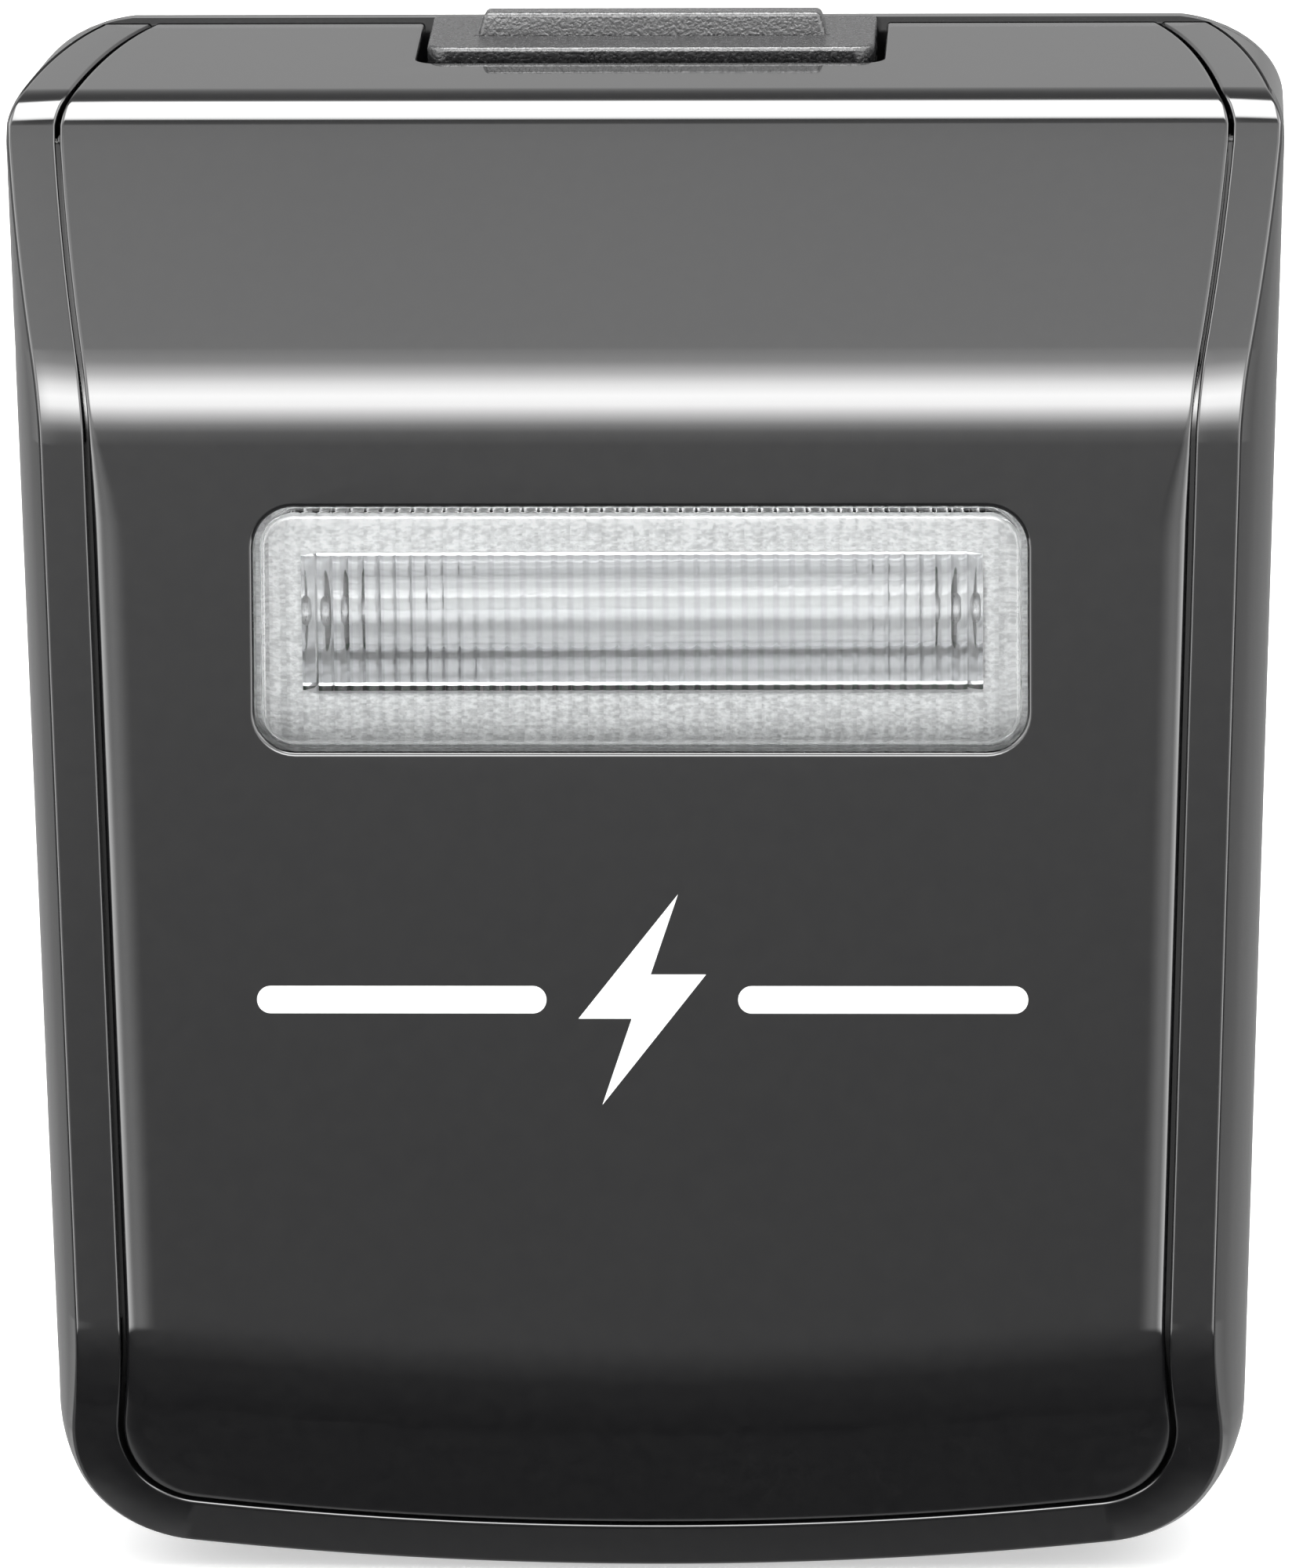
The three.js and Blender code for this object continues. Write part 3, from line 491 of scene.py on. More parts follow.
def between(g, factor, low, high):
    return g.node("ShaderNodeMapRange", i0=factor, i1=0.3, i2=0.7, i3=low, i4=high).outputs[0]


def bump(g, principled, height, distance, strength=1.0):
    made = g.node("ShaderNodeBump", i0=strength, i1=distance * MM)
    g.tree.links.new(height, made.inputs["Height"])
    g.tree.links.new(made.outputs[0], principled.inputs["Normal"])


def gloss_black():
    made, g, p = shader("gloss_black", ior=1.5)
    g.tree.links.new(between(g, noise(g, 90, 4), 0.03, 0.06), p.inputs["Roughness"])
    tint = g.ramp(noise(g, 1500, 2), ((0.3, (0.0045, 0.0045, 0.005)), (0.7, (0.0065, 0.0065, 0.0068))))
    g.tree.links.new(tint, p.inputs["Base Color"])
    bump(g, p, noise(g, 220, 2), 0.002, 0.3)
    return made


def rear_black():
    """Gloss on the edge, fine sand on the face that meets the host."""
    made, g, p = shader("rear_black", ior=1.5)
    facing = g.node("ShaderNodeSeparateXYZ", i0=g.node("ShaderNodeTexCoord").outputs["Normal"]).outputs[1]
    sanded = g.node("ShaderNodeMapRange", i0=facing, i1=0.75, i2=0.95).outputs[0]
    speck = noise(g, 6000, 4)
    rough = g.math("ADD", g.math("MULTIPLY", sanded, 0.38), 0.05)
    g.tree.links.new(rough, p.inputs["Roughness"])
    tint = g.ramp(speck, ((0.35, (0.005, 0.005, 0.0055)), (0.65, (0.012, 0.012, 0.0125))))
    g.tree.links.new(tint, p.inputs["Base Color"])
    bump(g, p, g.math("MULTIPLY", speck, sanded), 0.03, 1.0)
    return made


def textured_plastic(name, dark, light, rough_low, rough_high, grain=0.035):
    made, g, p = shader(name, ior=1.49)
    speck = noise(g, 6500, 5)
    g.tree.links.new(g.ramp(speck, ((0.35, dark), (0.65, light))), p.inputs["Base Color"])
    g.tree.links.new(between(g, noise(g, 3800, 3), rough_low, rough_high), p.inputs["Roughness"])
    bump(g, p, speck, grain, 1.0)
    return made


def metal(name, dark, light, rough_low, rough_high, stretch=(1, 1, 1), grain=0.004, per_metre=4000):
    made, g, p = shader(name, metallic=1.0)
    pattern = noise(g, per_metre, 4, stretch)
    g.tree.links.new(g.ramp(pattern, ((0.3, dark), (0.7, light))), p.inputs["Base Color"])
    g.tree.links.new(between(g, pattern, rough_low, rough_high), p.inputs["Roughness"])
    bump(g, p, pattern, grain, 0.5)
    return made


def thin_glass():
    """A thin quartz wall: nearly invisible face on, milky towards its edges."""
    made, g, p = shader("tube_glass", ior=1.46, base_color=(0.9, 0.91, 0.92, 1))
    g.tree.links.new(between(g, noise(g, 600, 3), 0.02, 0.07), p.inputs["Roughness"])
    edge = g.node("ShaderNodeLayerWeight", i0=0.35).outputs["Facing"]
    g.tree.links.new(g.math("ADD", g.math("MULTIPLY", edge, 0.2), 0.06), p.inputs["Alpha"])
    return made


def clear(name, ior, rough_low, rough_high):
    made, g, p = shader(name, ior=ior, transmission_weight=1.0, base_color=(0.97, 0.98, 0.98, 1))
    g.tree.links.new(between(g, noise(g, 700, 3), rough_low, rough_high), p.inputs["Roughness"])
    return made


def board_green():
    made, g, p = shader("board_green", roughness=0.35)
    tracks = noise(g, 500, 1, (0.2, 1, 1))
    g.tree.links.new(g.ramp(tracks, ((0.47, (0.006, 0.07, 0.03)), (0.5, (0.02, 0.16, 0.06)))), p.inputs["Base Color"])
    bump(g, p, tracks, 0.03, 0.5)
    return made


def make_looks():
    looks = {
        "gloss_black": gloss_black(),
        "rear_black": rear_black(),
        "matte_black": textured_plastic("matte_black", (0.006, 0.006, 0.0065), (0.026, 0.026, 0.027), 0.17, 0.3, 0.04),
        "bezel_grey": textured_plastic("bezel_grey", (0.6, 0.605, 0.61), (0.97, 0.975, 0.98), 0.35, 0.55, 0.07),
        "window_clear": clear("window_clear", 1.49, 0.0, 0.03),
        "tube_glass": thin_glass(),
        "polished_aluminium": metal("polished_aluminium", (0.74, 0.75, 0.76), (0.87, 0.87, 0.88), 0.06, 0.16,
                                    (0.05, 1, 1)),
        "steel": metal("steel", (0.36, 0.36, 0.37), (0.6, 0.6, 0.61), 0.25, 0.42),
        "gold": metal("gold", (0.78, 0.52, 0.2), (0.95, 0.72, 0.36), 0.12, 0.25),
        "silicone": textured_plastic("silicone", (0.5, 0.48, 0.43), (0.66, 0.64, 0.6), 0.5, 0.7, 0.01),
        "board": board_green(),
        "component": textured_plastic("component", (0.02, 0.02, 0.024), (0.05, 0.05, 0.056), 0.4, 0.6, 0.015),
        "print_white": textured_plastic("print_white", (0.86, 0.86, 0.86), (0.95, 0.95, 0.95), 0.45, 0.6, 0.004),
    }
    polished = looks["polished_aluminium"].node_tree.nodes
    next(n for n in polished if n.type == "BSDF_PRINCIPLED").inputs["Metallic"].default_value = 0.72
    return looks


# ---- Case -----------------------------------------------------------------------------------------
COVER_INSET = WALL + 0.22
CRISP_ROLL = (0.2, 0.09)  # how far the cover's edge rounds over across, and down
SOFT_ROLL = (1.6, 0.42)
ROLL_STEPS = 8
COVER_COLUMNS = 26
NOTCH_HALF = 11.1
NOTCH_FRONT = 10.45
NOTCH_RADIUS = 1.0
WINDOW_EDGE = 0.22


def ease(t):
    t = min(max(t, 0.0), 1.0)
    return t * t * (3 - 2 * t)


def softness(x, z):
    """1 where the cover's edge is softly rounded, down its straight sides; 0 where it is crisp."""
    return ease((20.8 - z) / 6.5) * ease((x - 12.0) / 12.0) * ease((z + 33.5) / 8.0)


def cover_layer(sunk):
    """Rows of points across the cover, rolled over at the edges, or all sunk by the wall."""
    crisp, soft = [], []
    for k in range(ROLL_STEPS + 1):
        a = math.pi / 2 * k / ROLL_STEPS
        for rings, (across, down) in ((crisp, CRISP_ROLL), (soft, SOFT_ROLL)):
            rings.append((half_outline(COVER_INSET + across * (1 - math.cos(a))), down * (1 - math.sin(a))))
    rows = []
    for i in range(len(crisp[0][0])):
        share = softness(*crisp[0][0][i])
        edge = []
        for (sharp, less), (round_, more) in zip(crisp, soft):
            x = sharp[i][0] + (round_[i][0] - sharp[i][0]) * share
            z = sharp[i][1] + (round_[i][1] - sharp[i][1]) * share
            edge.append((x, z, sunk if sunk else less + (more - less) * share))
        inner_x, inner_z, drop = edge[-1]
        row = [skin(-x, z, d) for x, z, d in edge]
        for c in range(1, COVER_COLUMNS):
            row.append(skin(inner_x * (2 * c / COVER_COLUMNS - 1), inner_z, drop))
        row += [skin(x, z, d) for x, z, d in reversed(edge)]
        rows.append(row)
    return rows


def cover_shell():
    outer, inner = cover_layer(0), cover_layer(COVER_WALL)
    n, columns = len(outer), len(outer[0])
    verts = [p for row in outer + inner for p in row]
    faces = []
    for i in range(n - 1):
        for j in range(columns - 1):
            a = i * columns + j
            quad = (a, a + 1, a + columns + 1, a + columns)
            faces.append(quad)
            faces.append(tuple(q + n * columns for q in reversed(quad)))
        for j in (0, columns - 1):
            a = i * columns + j
            faces.append((a, a + columns, a + columns + n * columns, a + n * columns))
    faces += [(j, j + 1, j + 1 + n * columns, j + n * columns) for j in range(columns - 1)]
    return link("front_cover_shell", verts, faces)


def flatten_patch(obj, inside):
    """Joins the flat outer faces whose middle satisfies inside, so a cut there leaves clean edges."""
    bm = bmesh.new()
    bm.from_mesh(obj.data)
    chosen = [f for f in bm.faces if inside(f.calc_center_median() / MM)]
    bmesh.ops.dissolve_faces(bm, faces=chosen, use_verts=True)
    bm.to_mesh(obj.data)
    bm.free()


def notch_tool():
    outline = [(-NOTCH_HALF, 0), (NOTCH_HALF, 0)]
    for sign, start in ((1, 0), (-1, 90)):
        for i in range(9):
            a = math.radians(start + 90 * i / 8)
            outline.append((sign * (NOTCH_HALF - NOTCH_RADIUS) + NOTCH_RADIUS * math.cos(a),
                            NOTCH_FRONT - NOTCH_RADIUS + NOTCH_RADIUS * math.sin(a)))
    n = len(outline)
    verts = [(x, -f, z) for z in (30, 42) for x, f in outline]
    faces = [tuple(range(n)), tuple(range(2 * n - 1, n - 1, -1))]
    faces += [(i, (i + 1) % n, n + (i + 1) % n, n + i) for i in range(n)]
    return link("notch_tool", verts, faces)


def front_cover(looks):
    shell = cover_shell()
    half_w, half_h = WINDOW_WIDTH / 2, WINDOW_HEIGHT / 2
    flatten_patch(shell, lambda p: p.y < -DEPTH + 0.01 and abs(p.x) < half_w + 1.5 and abs(p.z - WINDOW_Z) < half_h + 1.5)
    flatten_patch(shell, lambda p: abs(p.z - top_z(-p.y)) < 0.02 and abs(p.x) < NOTCH_HALF + 2.5 and p.y > -14)
    tool = prism("window_tool", rounded(WINDOW_WIDTH, WINDOW_HEIGHT, WINDOW_RADIUS, WINDOW_Z), 15, 30)
    boolean(shell, tool, "DIFFERENCE")
    boolean(shell, notch_tool(), "DIFFERENCE")

    def window_edge(p):
        return abs(p.y + DEPTH) < 0.02 and abs(p.x) < half_w + 0.05 and abs(p.z - WINDOW_Z) < half_h + 0.05

    bevel_only(shell, WINDOW_EDGE, window_edge)
    bevel_only(shell, 0.18, lambda p: p.z > top_z(NOTCH_FRONT) - 0.05 and abs(p.x) < NOTCH_HALF + 0.05
               and p.y > -NOTCH_FRONT - 0.05 and p.y < -BODY_REAR - 0.2)
    shell.name = "front_cover_moulding"
    return place(shell, "case", "gloss_black", looks["gloss_black"], "front_cover", angle=40, weighted=True)


def bevel_only(obj, width, pick, segments=3):
    """Rounds just the picked sharp edges, leaving the rest of the mesh as it is."""
    bm = bmesh.new()
    bm.from_mesh(obj.data)
    edges = []
    for e in bm.edges:
        if len(e.link_faces) == 2 and e.calc_face_angle(0) > math.radians(40):
            if pick((e.verts[0].co + e.verts[1].co) / 2 / MM):
                edges.append(e)
    bmesh.ops.bevel(bm, geom=edges, offset=width * MM, segments=segments, profile=0.5,
                    affect="EDGES", clamp_overlap=True)
    bm.to_mesh(obj.data)
    bm.free()


RIM_OUTER = 0.24
RIM_INNER = 0.16
FOOT_LEAN = 0.18  # how far the frame's outer edge falls back along the foot
LEDGE_REACH = 2.0
LEDGE_SINK = COVER_WALL + GAP
LEDGE_WALL = 0.8


def rim_section(index, outlines, sign):
    """One closed section of the frame's wall, at one place along its outline."""
    def at(inset, sink):
        x, z = outlines[round(inset, 4)][index]
        lean = FOOT_LEAN * max(0.0, 1 - inset / WALL) * ease((-30.5 - z) / 3.0)
        return skin(sign * x, z, sink + lean)
    x0, z0 = outlines[0.0][index]
    edge = at(0.0, RIM_OUTER)
    reach = -edge.y
    section = []
    for i in range(15):
        f = BODY_REAR + (reach - BODY_REAR) * (i / 15) ** 0.8
        section.append(Vector((sign * x0 * flare_scale(f), -f, z0)))
    for inset, sink in rim_stations():
        section.append(at(inset, sink))
    inner = section[-1]
    section.append(Vector((inner.x / flare_scale(-inner.y) * flare_scale(BODY_REAR), -BODY_REAR, inner.z)))
    return section


def rim_stations():
    """(inset, sink) across the front strip, down the groove's wall and round the ledge."""
    rows = []
    for i in range(7):
        a = math.pi / 2 * i / 6
        rows.append((RIM_OUTER * (1 - math.cos(a)), RIM_OUTER * (1 - math.sin(a))))
    rows.append((WALL / 2, 0.0))
    for i in range(6):
        a = math.pi / 2 * i / 5
        rows.append((WALL - RIM_INNER * (1 - math.sin(a)), RIM_INNER * (1 - math.cos(a))))
    rows += [(WALL, LEDGE_SINK), (WALL + LEDGE_REACH, LEDGE_SINK)]
    rows += [(WALL + LEDGE_REACH, LEDGE_SINK + LEDGE_WALL), (WALL, LEDGE_SINK + LEDGE_WALL)]
    return [(round(inset, 4), sink) for inset, sink in rows]


def housing(looks):
    outlines = {inset: half_outline(inset) for inset in {0.0, *(s[0] for s in rim_stations())}}
    count = len(outlines[0.0])
    sections = [rim_section(i, outlines, -1) for i in range(count)]
    sections += [rim_section(i, outlines, 1) for i in range(count - 2, -1, -1)]
    n = len(sections[0])
    verts = [p for section in sections for p in section]
    faces = []
    for s in range(len(sections) - 1):
        for i in range(n):
            j = (i + 1) % n
            faces.append((s * n + i, s * n + j, (s + 1) * n + j, (s + 1) * n + i))
    faces += [tuple(range(n)), tuple(range(len(verts) - 1, len(verts) - n - 1, -1))]
    obj = link("housing_moulding", verts, faces)
    return place(obj, "case", "gloss_black", looks["gloss_black"], "housing", angle=40, weighted=True)


# ---- Rear cover -----------------------------------------------------------------------------------
REAR_FACE = 0.4
REAR_INNER = 2.2
PAD = (18.0, 12.0)
HOOK_X = 6.0
LOWER_HOOK_X = 12.0
LOWER_HOOK_Z = -31.6
LOWER_HOOK_REACH = 2.9
REAR_SCREWS = ((-25.6, 27.5), (25.6, 27.5), (-23.8, -27.0), (23.8, -27.0))
CONTACT_Z = 18.0
CONTACT_PITCH = 3.0
CONTACT_COUNT = 6
BLOCK_HALF_X = 10.0
BLOCK_HALF_Z = 3.0


def shoulder_in(z):
    """How far the rounded shoulder has drawn in from the side at a height near the top."""
    return SHOULDER_ACROSS * (1 - math.sqrt(max(0.0, 1 - ((z - SHOULDER_Z) / SHOULDER_UP) ** 2)))


def full_outline(inset, step=1):
    """The whole front outline as closed (x, z) points, at the rear where nothing is drawn in."""
    half = half_outline(inset)
    picked = [p for i, p in enumerate(half) if i % step == 0 or i == len(half) - 1]
    rise = top_z(REAR_FACE) - TOP_END_Z
    corner = [TOP_END_Z + rise * k / 6 for k in range(6, 0, -1)]
    top = [(picked[0][0] + shoulder_in(TOP_END_Z) - shoulder_in(z), z) for z in corner] + picked
    return [(-x, z) for x, z in top] + [(x, z) for x, z in reversed(top[:-1])]


def hook_blade(x, half, rows, width):
    """A hook drawn in (forward, z), as thick as twice half, with its edges rounded."""
    n = len(rows)
    verts = [(x + side * half, -f, z) for side in (-1, 1) for f, z in rows]
    faces = [tuple(range(n)), tuple(range(2 * n - 1, n - 1, -1))]
    faces += [(i, (i + 1) % n, n + (i + 1) % n, n + i) for i in range(n)]
    return bevel(link("hook", verts, faces), width, 2)


def rod(x, z, rear, front, radius, sides=40):
    return turned("rod", [(-rear, 0), (-rear, radius), (-front, radius), (-front, 0)], (x, 0, z), "Y", sides)


def post(x, forward, low, high, radius, sides=40):
    return turned("post", [(low, 0), (low, radius), (high, radius), (high, 0)], (x, -forward, 0), "Z", sides)


def rear_cover(looks):
    body = bevel(prism("rear_cover_moulding", full_outline(0.02, 2), REAR_FACE, REAR_INNER), 0.25, 2,
                 lambda p: p.y > -REAR_FACE - 0.05)
    boolean(body, bevel(prism("pad", rounded(*PAD, 1.0), 0.0, REAR_FACE + 0.5), 0.18, 2), "UNION")
    for side in (-1, 1):
        x, z, reach = side * LOWER_HOOK_X, LOWER_HOOK_Z, LOWER_HOOK_REACH
        rows = [(REAR_FACE + 0.5, z), (1.2 - reach, z), (1.2 - reach, z - 1.8), (-reach, z - 1.8),
                (-reach, z + 1.8), (REAR_FACE + 0.5, z + 1.8)]
        boolean(body, hook_blade(x, 3.0, rows, 0.3), "UNION")
        slot = prism("hook_slot", rounded(5.0, 5.5, 0.5, 29.65, side * HOOK_X), -1, 4)
        boolean(body, slot, "DIFFERENCE")
        boolean(body, rod(side * 17.0, -6.0, REAR_INNER - 0.5, 4.7, 2.2), "UNION")
        boolean(body, rod(side * 17.0, -6.0, REAR_FACE + 0.8, 5.0, 1.15), "DIFFERENCE")
    opening = rounded(2 * BLOCK_HALF_X + 2 * GAP, 2 * BLOCK_HALF_Z + 2 * GAP, 0.6, CONTACT_Z)
    boolean(body, prism("block_opening", opening, -1, 4), "DIFFERENCE")
    for x, z in REAR_SCREWS:
        boolean(body, rod(x, z, -1, REAR_FACE + 1, 2.2, 48), "DIFFERENCE")
        boolean(body, rod(x, z, -1, REAR_INNER + 1, 1.15), "DIFFERENCE")
    # fine moulded grip ribs on both sides of the pad
    for side in (-1, 1):
        for k in range(9):
            z = -14.0 + k * 2.4
            groove = block("groove", sorted((side * 12.5, side * 21.5)), (REAR_FACE - 1, REAR_FACE + 0.25), (z, z + 0.8))
            boolean(body, groove, "DIFFERENCE")
    clean(body)
    return place(body, "case", "gloss_black", looks["rear_black"], "rear_cover", weighted=True)


# ---- Window, bezel, reflector and tube ------------------------------------------------------------
LENS_FACE = 24.6
LENS_REAR = 21.9
RIB_PITCH = 0.74
RIB_HEIGHT = 0.12
HOLDER_FRONT = 21.6
HOLDER_REAR = 20.4
OPENING = (32.2, 6.5)
MOUTH = 20.1
TROUGH_DEPTH = 8.0
TROUGH_HALF = 2.9
BACK_RADIUS = 2.3
SHEET = 0.15
TROUGH_HALF_LENGTH = 15.85
END_SLOPE = 0.25
TUBE_RADIUS = 1.5


def window_lens(looks):
    """A clear block with a fine upright ribbing inside and a flange that sits behind the cover."""
    outline = rounded(WINDOW_WIDTH - 2 * GAP, WINDOW_HEIGHT - 2 * GAP, WINDOW_RADIUS - GAP, WINDOW_Z, steps=12)
    body = prism("window_lens_moulding", outline, LENS_REAR + 0.35, LENS_FACE)
    bevel(body, 0.28, 3, pick=lambda p: p.y < -LENS_FACE + 0.01)
    flange = prism("flange", rounded(38.0, 13.0, 1.5, WINDOW_Z), LENS_REAR + 0.35, LENS_REAR + 0.9)
    boolean(body, flange, "UNION")
    half_w, half_h = 18.2, 5.8
    points = [(-half_w - 0.3, LENS_REAR + 0.6)]
    count = int(2 * half_w / RIB_PITCH)
    start = -count * RIB_PITCH / 2
    steps = 8
    for i in range(count * steps + 1):
        x = start + i * RIB_PITCH / steps
        points.append((x, LENS_REAR + 0.3 - RIB_HEIGHT * abs(math.sin(math.pi * i / steps)) ** 0.8))
    points.append((half_w + 0.3, LENS_REAR + 0.6))
    n = len(points)
    verts = [(x, -f, WINDOW_Z + z) for z in (-half_h, half_h) for x, f in points]
    faces = [tuple(range(n)), tuple(range(2 * n - 1, n - 1, -1))]
    faces += [(i, (i + 1) % n, n + (i + 1) % n, n + i) for i in range(n)]
    boolean(body, link("ribs", verts, faces), "UNION")
    clean(body)
    return place(body, "case", "window_clear", looks["window_clear"], "window_lens", angle=50)


def bezel(looks):
    """The reflector's holder: a grained plate with a filleted opening, two cheeks and four ears."""
    body = prism("reflector_holder_moulding", rounded(38.6, 14.6, 1.5, WINDOW_Z), HOLDER_REAR, HOLDER_FRONT)
    bevel(body, 0.2, 2)
    for side in (-1, 1):
        low = WINDOW_Z - 7.2
        cheek = block("cheek", sorted((side * 17.7, side * 19.5)), (13.0, HOLDER_REAR + 0.2), (low, low + 14.4), 0.15, 2)
        boolean(body, cheek, "UNION")
        for dz in (-5.2, 5.2):
            z = WINDOW_Z + dz
            ear = block("ear", sorted((side * 19.3, side * 23.8)), (17.0, 18.4), (z - 1.95, z + 1.95), 0.2, 2)
            boolean(body, ear, "UNION")
            boolean(body, rod(side * 21.6, z, 15, 19.4, 1.15), "DIFFERENCE")
        seat = TUBE_RADIUS + 2 * GAP + 0.9
        way = block("way", sorted((side * 17, side * 20)), (12, TUBE_FORWARD), (WINDOW_Z - seat, WINDOW_Z + seat))
        boolean(body, way, "DIFFERENCE")
        round_way = [(side * 17, 0), (side * 17, seat), (side * 20, seat), (side * 20, 0)]
        boolean(body, turned("seat", round_way, (0, -TUBE_FORWARD, WINDOW_Z)), "DIFFERENCE")
    mouth = prism("mouth", rounded(*OPENING, 0.9, WINDOW_Z, steps=8), 19, 23)
    boolean(body, mouth, "DIFFERENCE")
    half_w, half_h = OPENING[0] / 2 + 0.05, OPENING[1] / 2 + 0.05

    def lip(p):
        return abs(p.x) < half_w and abs(p.z - WINDOW_Z) < half_h and p.y < -HOLDER_FRONT + 0.05

    bevel_only(body, 0.16, lip, 4)
    clean(body)
    return place(body, "case", "bezel_grey", looks["bezel_grey"], "reflector_holder", weighted=True)


def trough_section(grow, steps=24):
    """(forward, z) down the reflector's inside or outside, from the upper lip round the back."""
    points = [(MOUTH, TROUGH_HALF + grow)]
    centre = MOUTH - TROUGH_DEPTH + BACK_RADIUS
    for i in range(steps + 1):
        a = math.pi / 2 + math.pi * i / steps
        points.append((centre + (BACK_RADIUS + grow) * math.cos(a), (BACK_RADIUS + grow) * math.sin(a)))
    points.append((MOUTH, -TROUGH_HALF - grow))
    return points


def trough_solid(name, grow, half_length, lip):
    rows = trough_section(grow)
    rows = [(MOUTH + lip, rows[0][1]), *rows, (MOUTH + lip, rows[-1][1])] if lip else rows
    n = len(rows)
    verts = []
    for side in (-1, 1):
        for f, z in rows:
            verts.append((side * (half_length - END_SLOPE * (MOUTH - f)), -f, WINDOW_Z + z))
    faces = [tuple(range(n)), tuple(range(2 * n - 1, n - 1, -1))]
    faces += [(i, (i + 1) % n, n + (i + 1) % n, n + i) for i in range(n)]
    return link(name, verts, faces)


def reflector(looks):
    body = trough_solid("reflector_sheet", SHEET, TROUGH_HALF_LENGTH + SHEET, 0)
    boolean(body, trough_solid("inside", 0, TROUGH_HALF_LENGTH, 1.0), "DIFFERENCE")
    way = TUBE_RADIUS + GAP
    boolean(body, turned("way", [(-20, 0), (-20, way), (20, way), (20, 0)], (0, -TUBE_FORWARD, WINDOW_Z)), "DIFFERENCE")
    clean(body)
    return place(body, "case", "polished_aluminium", looks["polished_aluminium"], "reflector", angle=25)


def flash_tube(looks):
    end, r, bore = 18.5, TUBE_RADIUS, 1.22
    profile = [(-end, bore), (-end, r - 0.2), (-end + 0.06, r - 0.06), (-end + 0.2, r), (end - 0.2, r),
               (end - 0.06, r - 0.06), (end, r - 0.2), (end, bore)]
    body = turned("flash_tube_glass", profile, (0, -TUBE_FORWARD, WINDOW_Z), "X", 64)
    place(body, "case", "tube_glass", looks["tube_glass"], "flash_tube", angle=50)
    for name, s in (("left", -1), ("right", 1)):
        rows = [(14.2, 0), (14.2, 0.4), (14.3, 0.5), (14.6, 0.62), (14.7, 0.65), (15.5, 0.65), (15.55, 0.6),
                (15.75, 0.6), (15.8, 0.65), (17.1, 0.65), (17.2, 0.6), (17.2, 0.35), (21.4, 0.35), (21.5, 0.25), (21.5, 0)]
        pin = turned("electrode_" + name + "_turned", [(s * a, b) for a, b in rows], (0, -TUBE_FORWARD, WINDOW_Z), "X", 40)
        place(pin, "case", "steel", looks["steel"], "electrode_" + name)
        inner, outer = TUBE_RADIUS + GAP, TUBE_RADIUS + 2 * GAP + 0.6
        rows = [(17.2, inner), (17.2, outer - 0.2), (17.4, outer), (20.0, outer), (20.2, outer - 0.2), (20.2, inner)]
        sleeve = turned("sleeve_" + name + "_moulding", [(s * a, b) for a, b in rows], (0, -TUBE_FORWARD, WINDOW_Z), "X", 48)
        place(sleeve, "case", "silicone", looks["silicone"], "tube_sleeve_" + name)


# ---- Release button and latch ---------------------------------------------------------------------
BUTTON_HALF = 10.65
BUTTON_REAR = 2.6
BUTTON_FRONT = 9.5
BUTTON_UNDER = 33.6
BUTTON_PROUD = (0.45, 0.48)  # above the cover at the rear and at the front lip
POST_X = 7.5
POST_FORWARD = 6.5


def button_plate():
    """The thumb plate, its front corners rounded to follow the notch."""
    top_front = top_z(BUTTON_FRONT) + BUTTON_PROUD[1]
    top_rear = top_z(BUTTON_REAR) + BUTTON_PROUD[0]
    rows = [(BUTTON_REAR, BUTTON_UNDER), (BUTTON_FRONT - 0.4, BUTTON_UNDER), (BUTTON_FRONT, top_front),
            (BUTTON_REAR, top_rear)]
    n = len(rows)
    verts = [(side * BUTTON_HALF, -f, z) for side in (-1, 1) for f, z in rows]
    faces = [tuple(range(n)), tuple(range(2 * n - 1, n - 1, -1))]
    faces += [(i, (i + 1) % n, n + (i + 1) % n, n + i) for i in range(n)]
    plate = link("release_button_moulding", verts, faces)
    upright = (lambda p: abs(p.x) > BUTTON_HALF - 0.05 and p.y < -BUTTON_FRONT + 0.45
               and BUTTON_UNDER + 0.1 < p.z < top_front - 0.1)
    bevel(plate, 1.0, 7, upright)
    return bevel(plate, 0.22, 3, lambda p: p.z > BUTTON_UNDER + 0.1, 30)


def release_button(looks):
    body = button_plate()
    ridge = prism("ridge", [(-8.46, 34.6), (8.46, 34.6), (8.46, top_z(6.8)), (8.0, 37.15), (-8.0, 37.15),
                            (-8.46, top_z(6.8))], 4.3, 6.8)
    boolean(body, bevel(ridge, 0.22, 3, lambda p: p.z > 36, 20), "UNION")
    foot = block("foot", (-8.5, 8.5), (6.8, 7.02), (top_z(6.9) + 0.32, 38))
    boolean(body, foot, "DIFFERENCE")
    latch = block("latch", (-9, 9), (BUTTON_REAR, 3.8), (28.6, BUTTON_UNDER + 0.5), 0.25, 2)
    boolean(body, latch, "UNION")
    for side in (-1, 1):
        x = side * POST_X
        for low, high, r in ((24.6, 25.5, 1.5), (25.4, 26.5, 1.0), (26.4, BUTTON_UNDER + 0.5, 1.5)):
            boolean(body, post(x, POST_FORWARD, low, high, r), "UNION")
        rows = [(3.1, 29.0), (-1.9, 29.0), (-1.9, 30.5), (-1.55, 31.9), (-0.9, 31.9), (-0.9, 30.8), (3.1, 30.8)]
        boolean(body, hook_blade(side * HOOK_X, 2.0, rows, 0.15), "UNION")
    clean(body)
    place(body, "button", "matte_black", looks["matte_black"], "release_button", weighted=True)
    for name, side in (("left", -1), ("right", 1)):
        retaining_clip(name, side, looks)
        button_spring(name, side, looks)


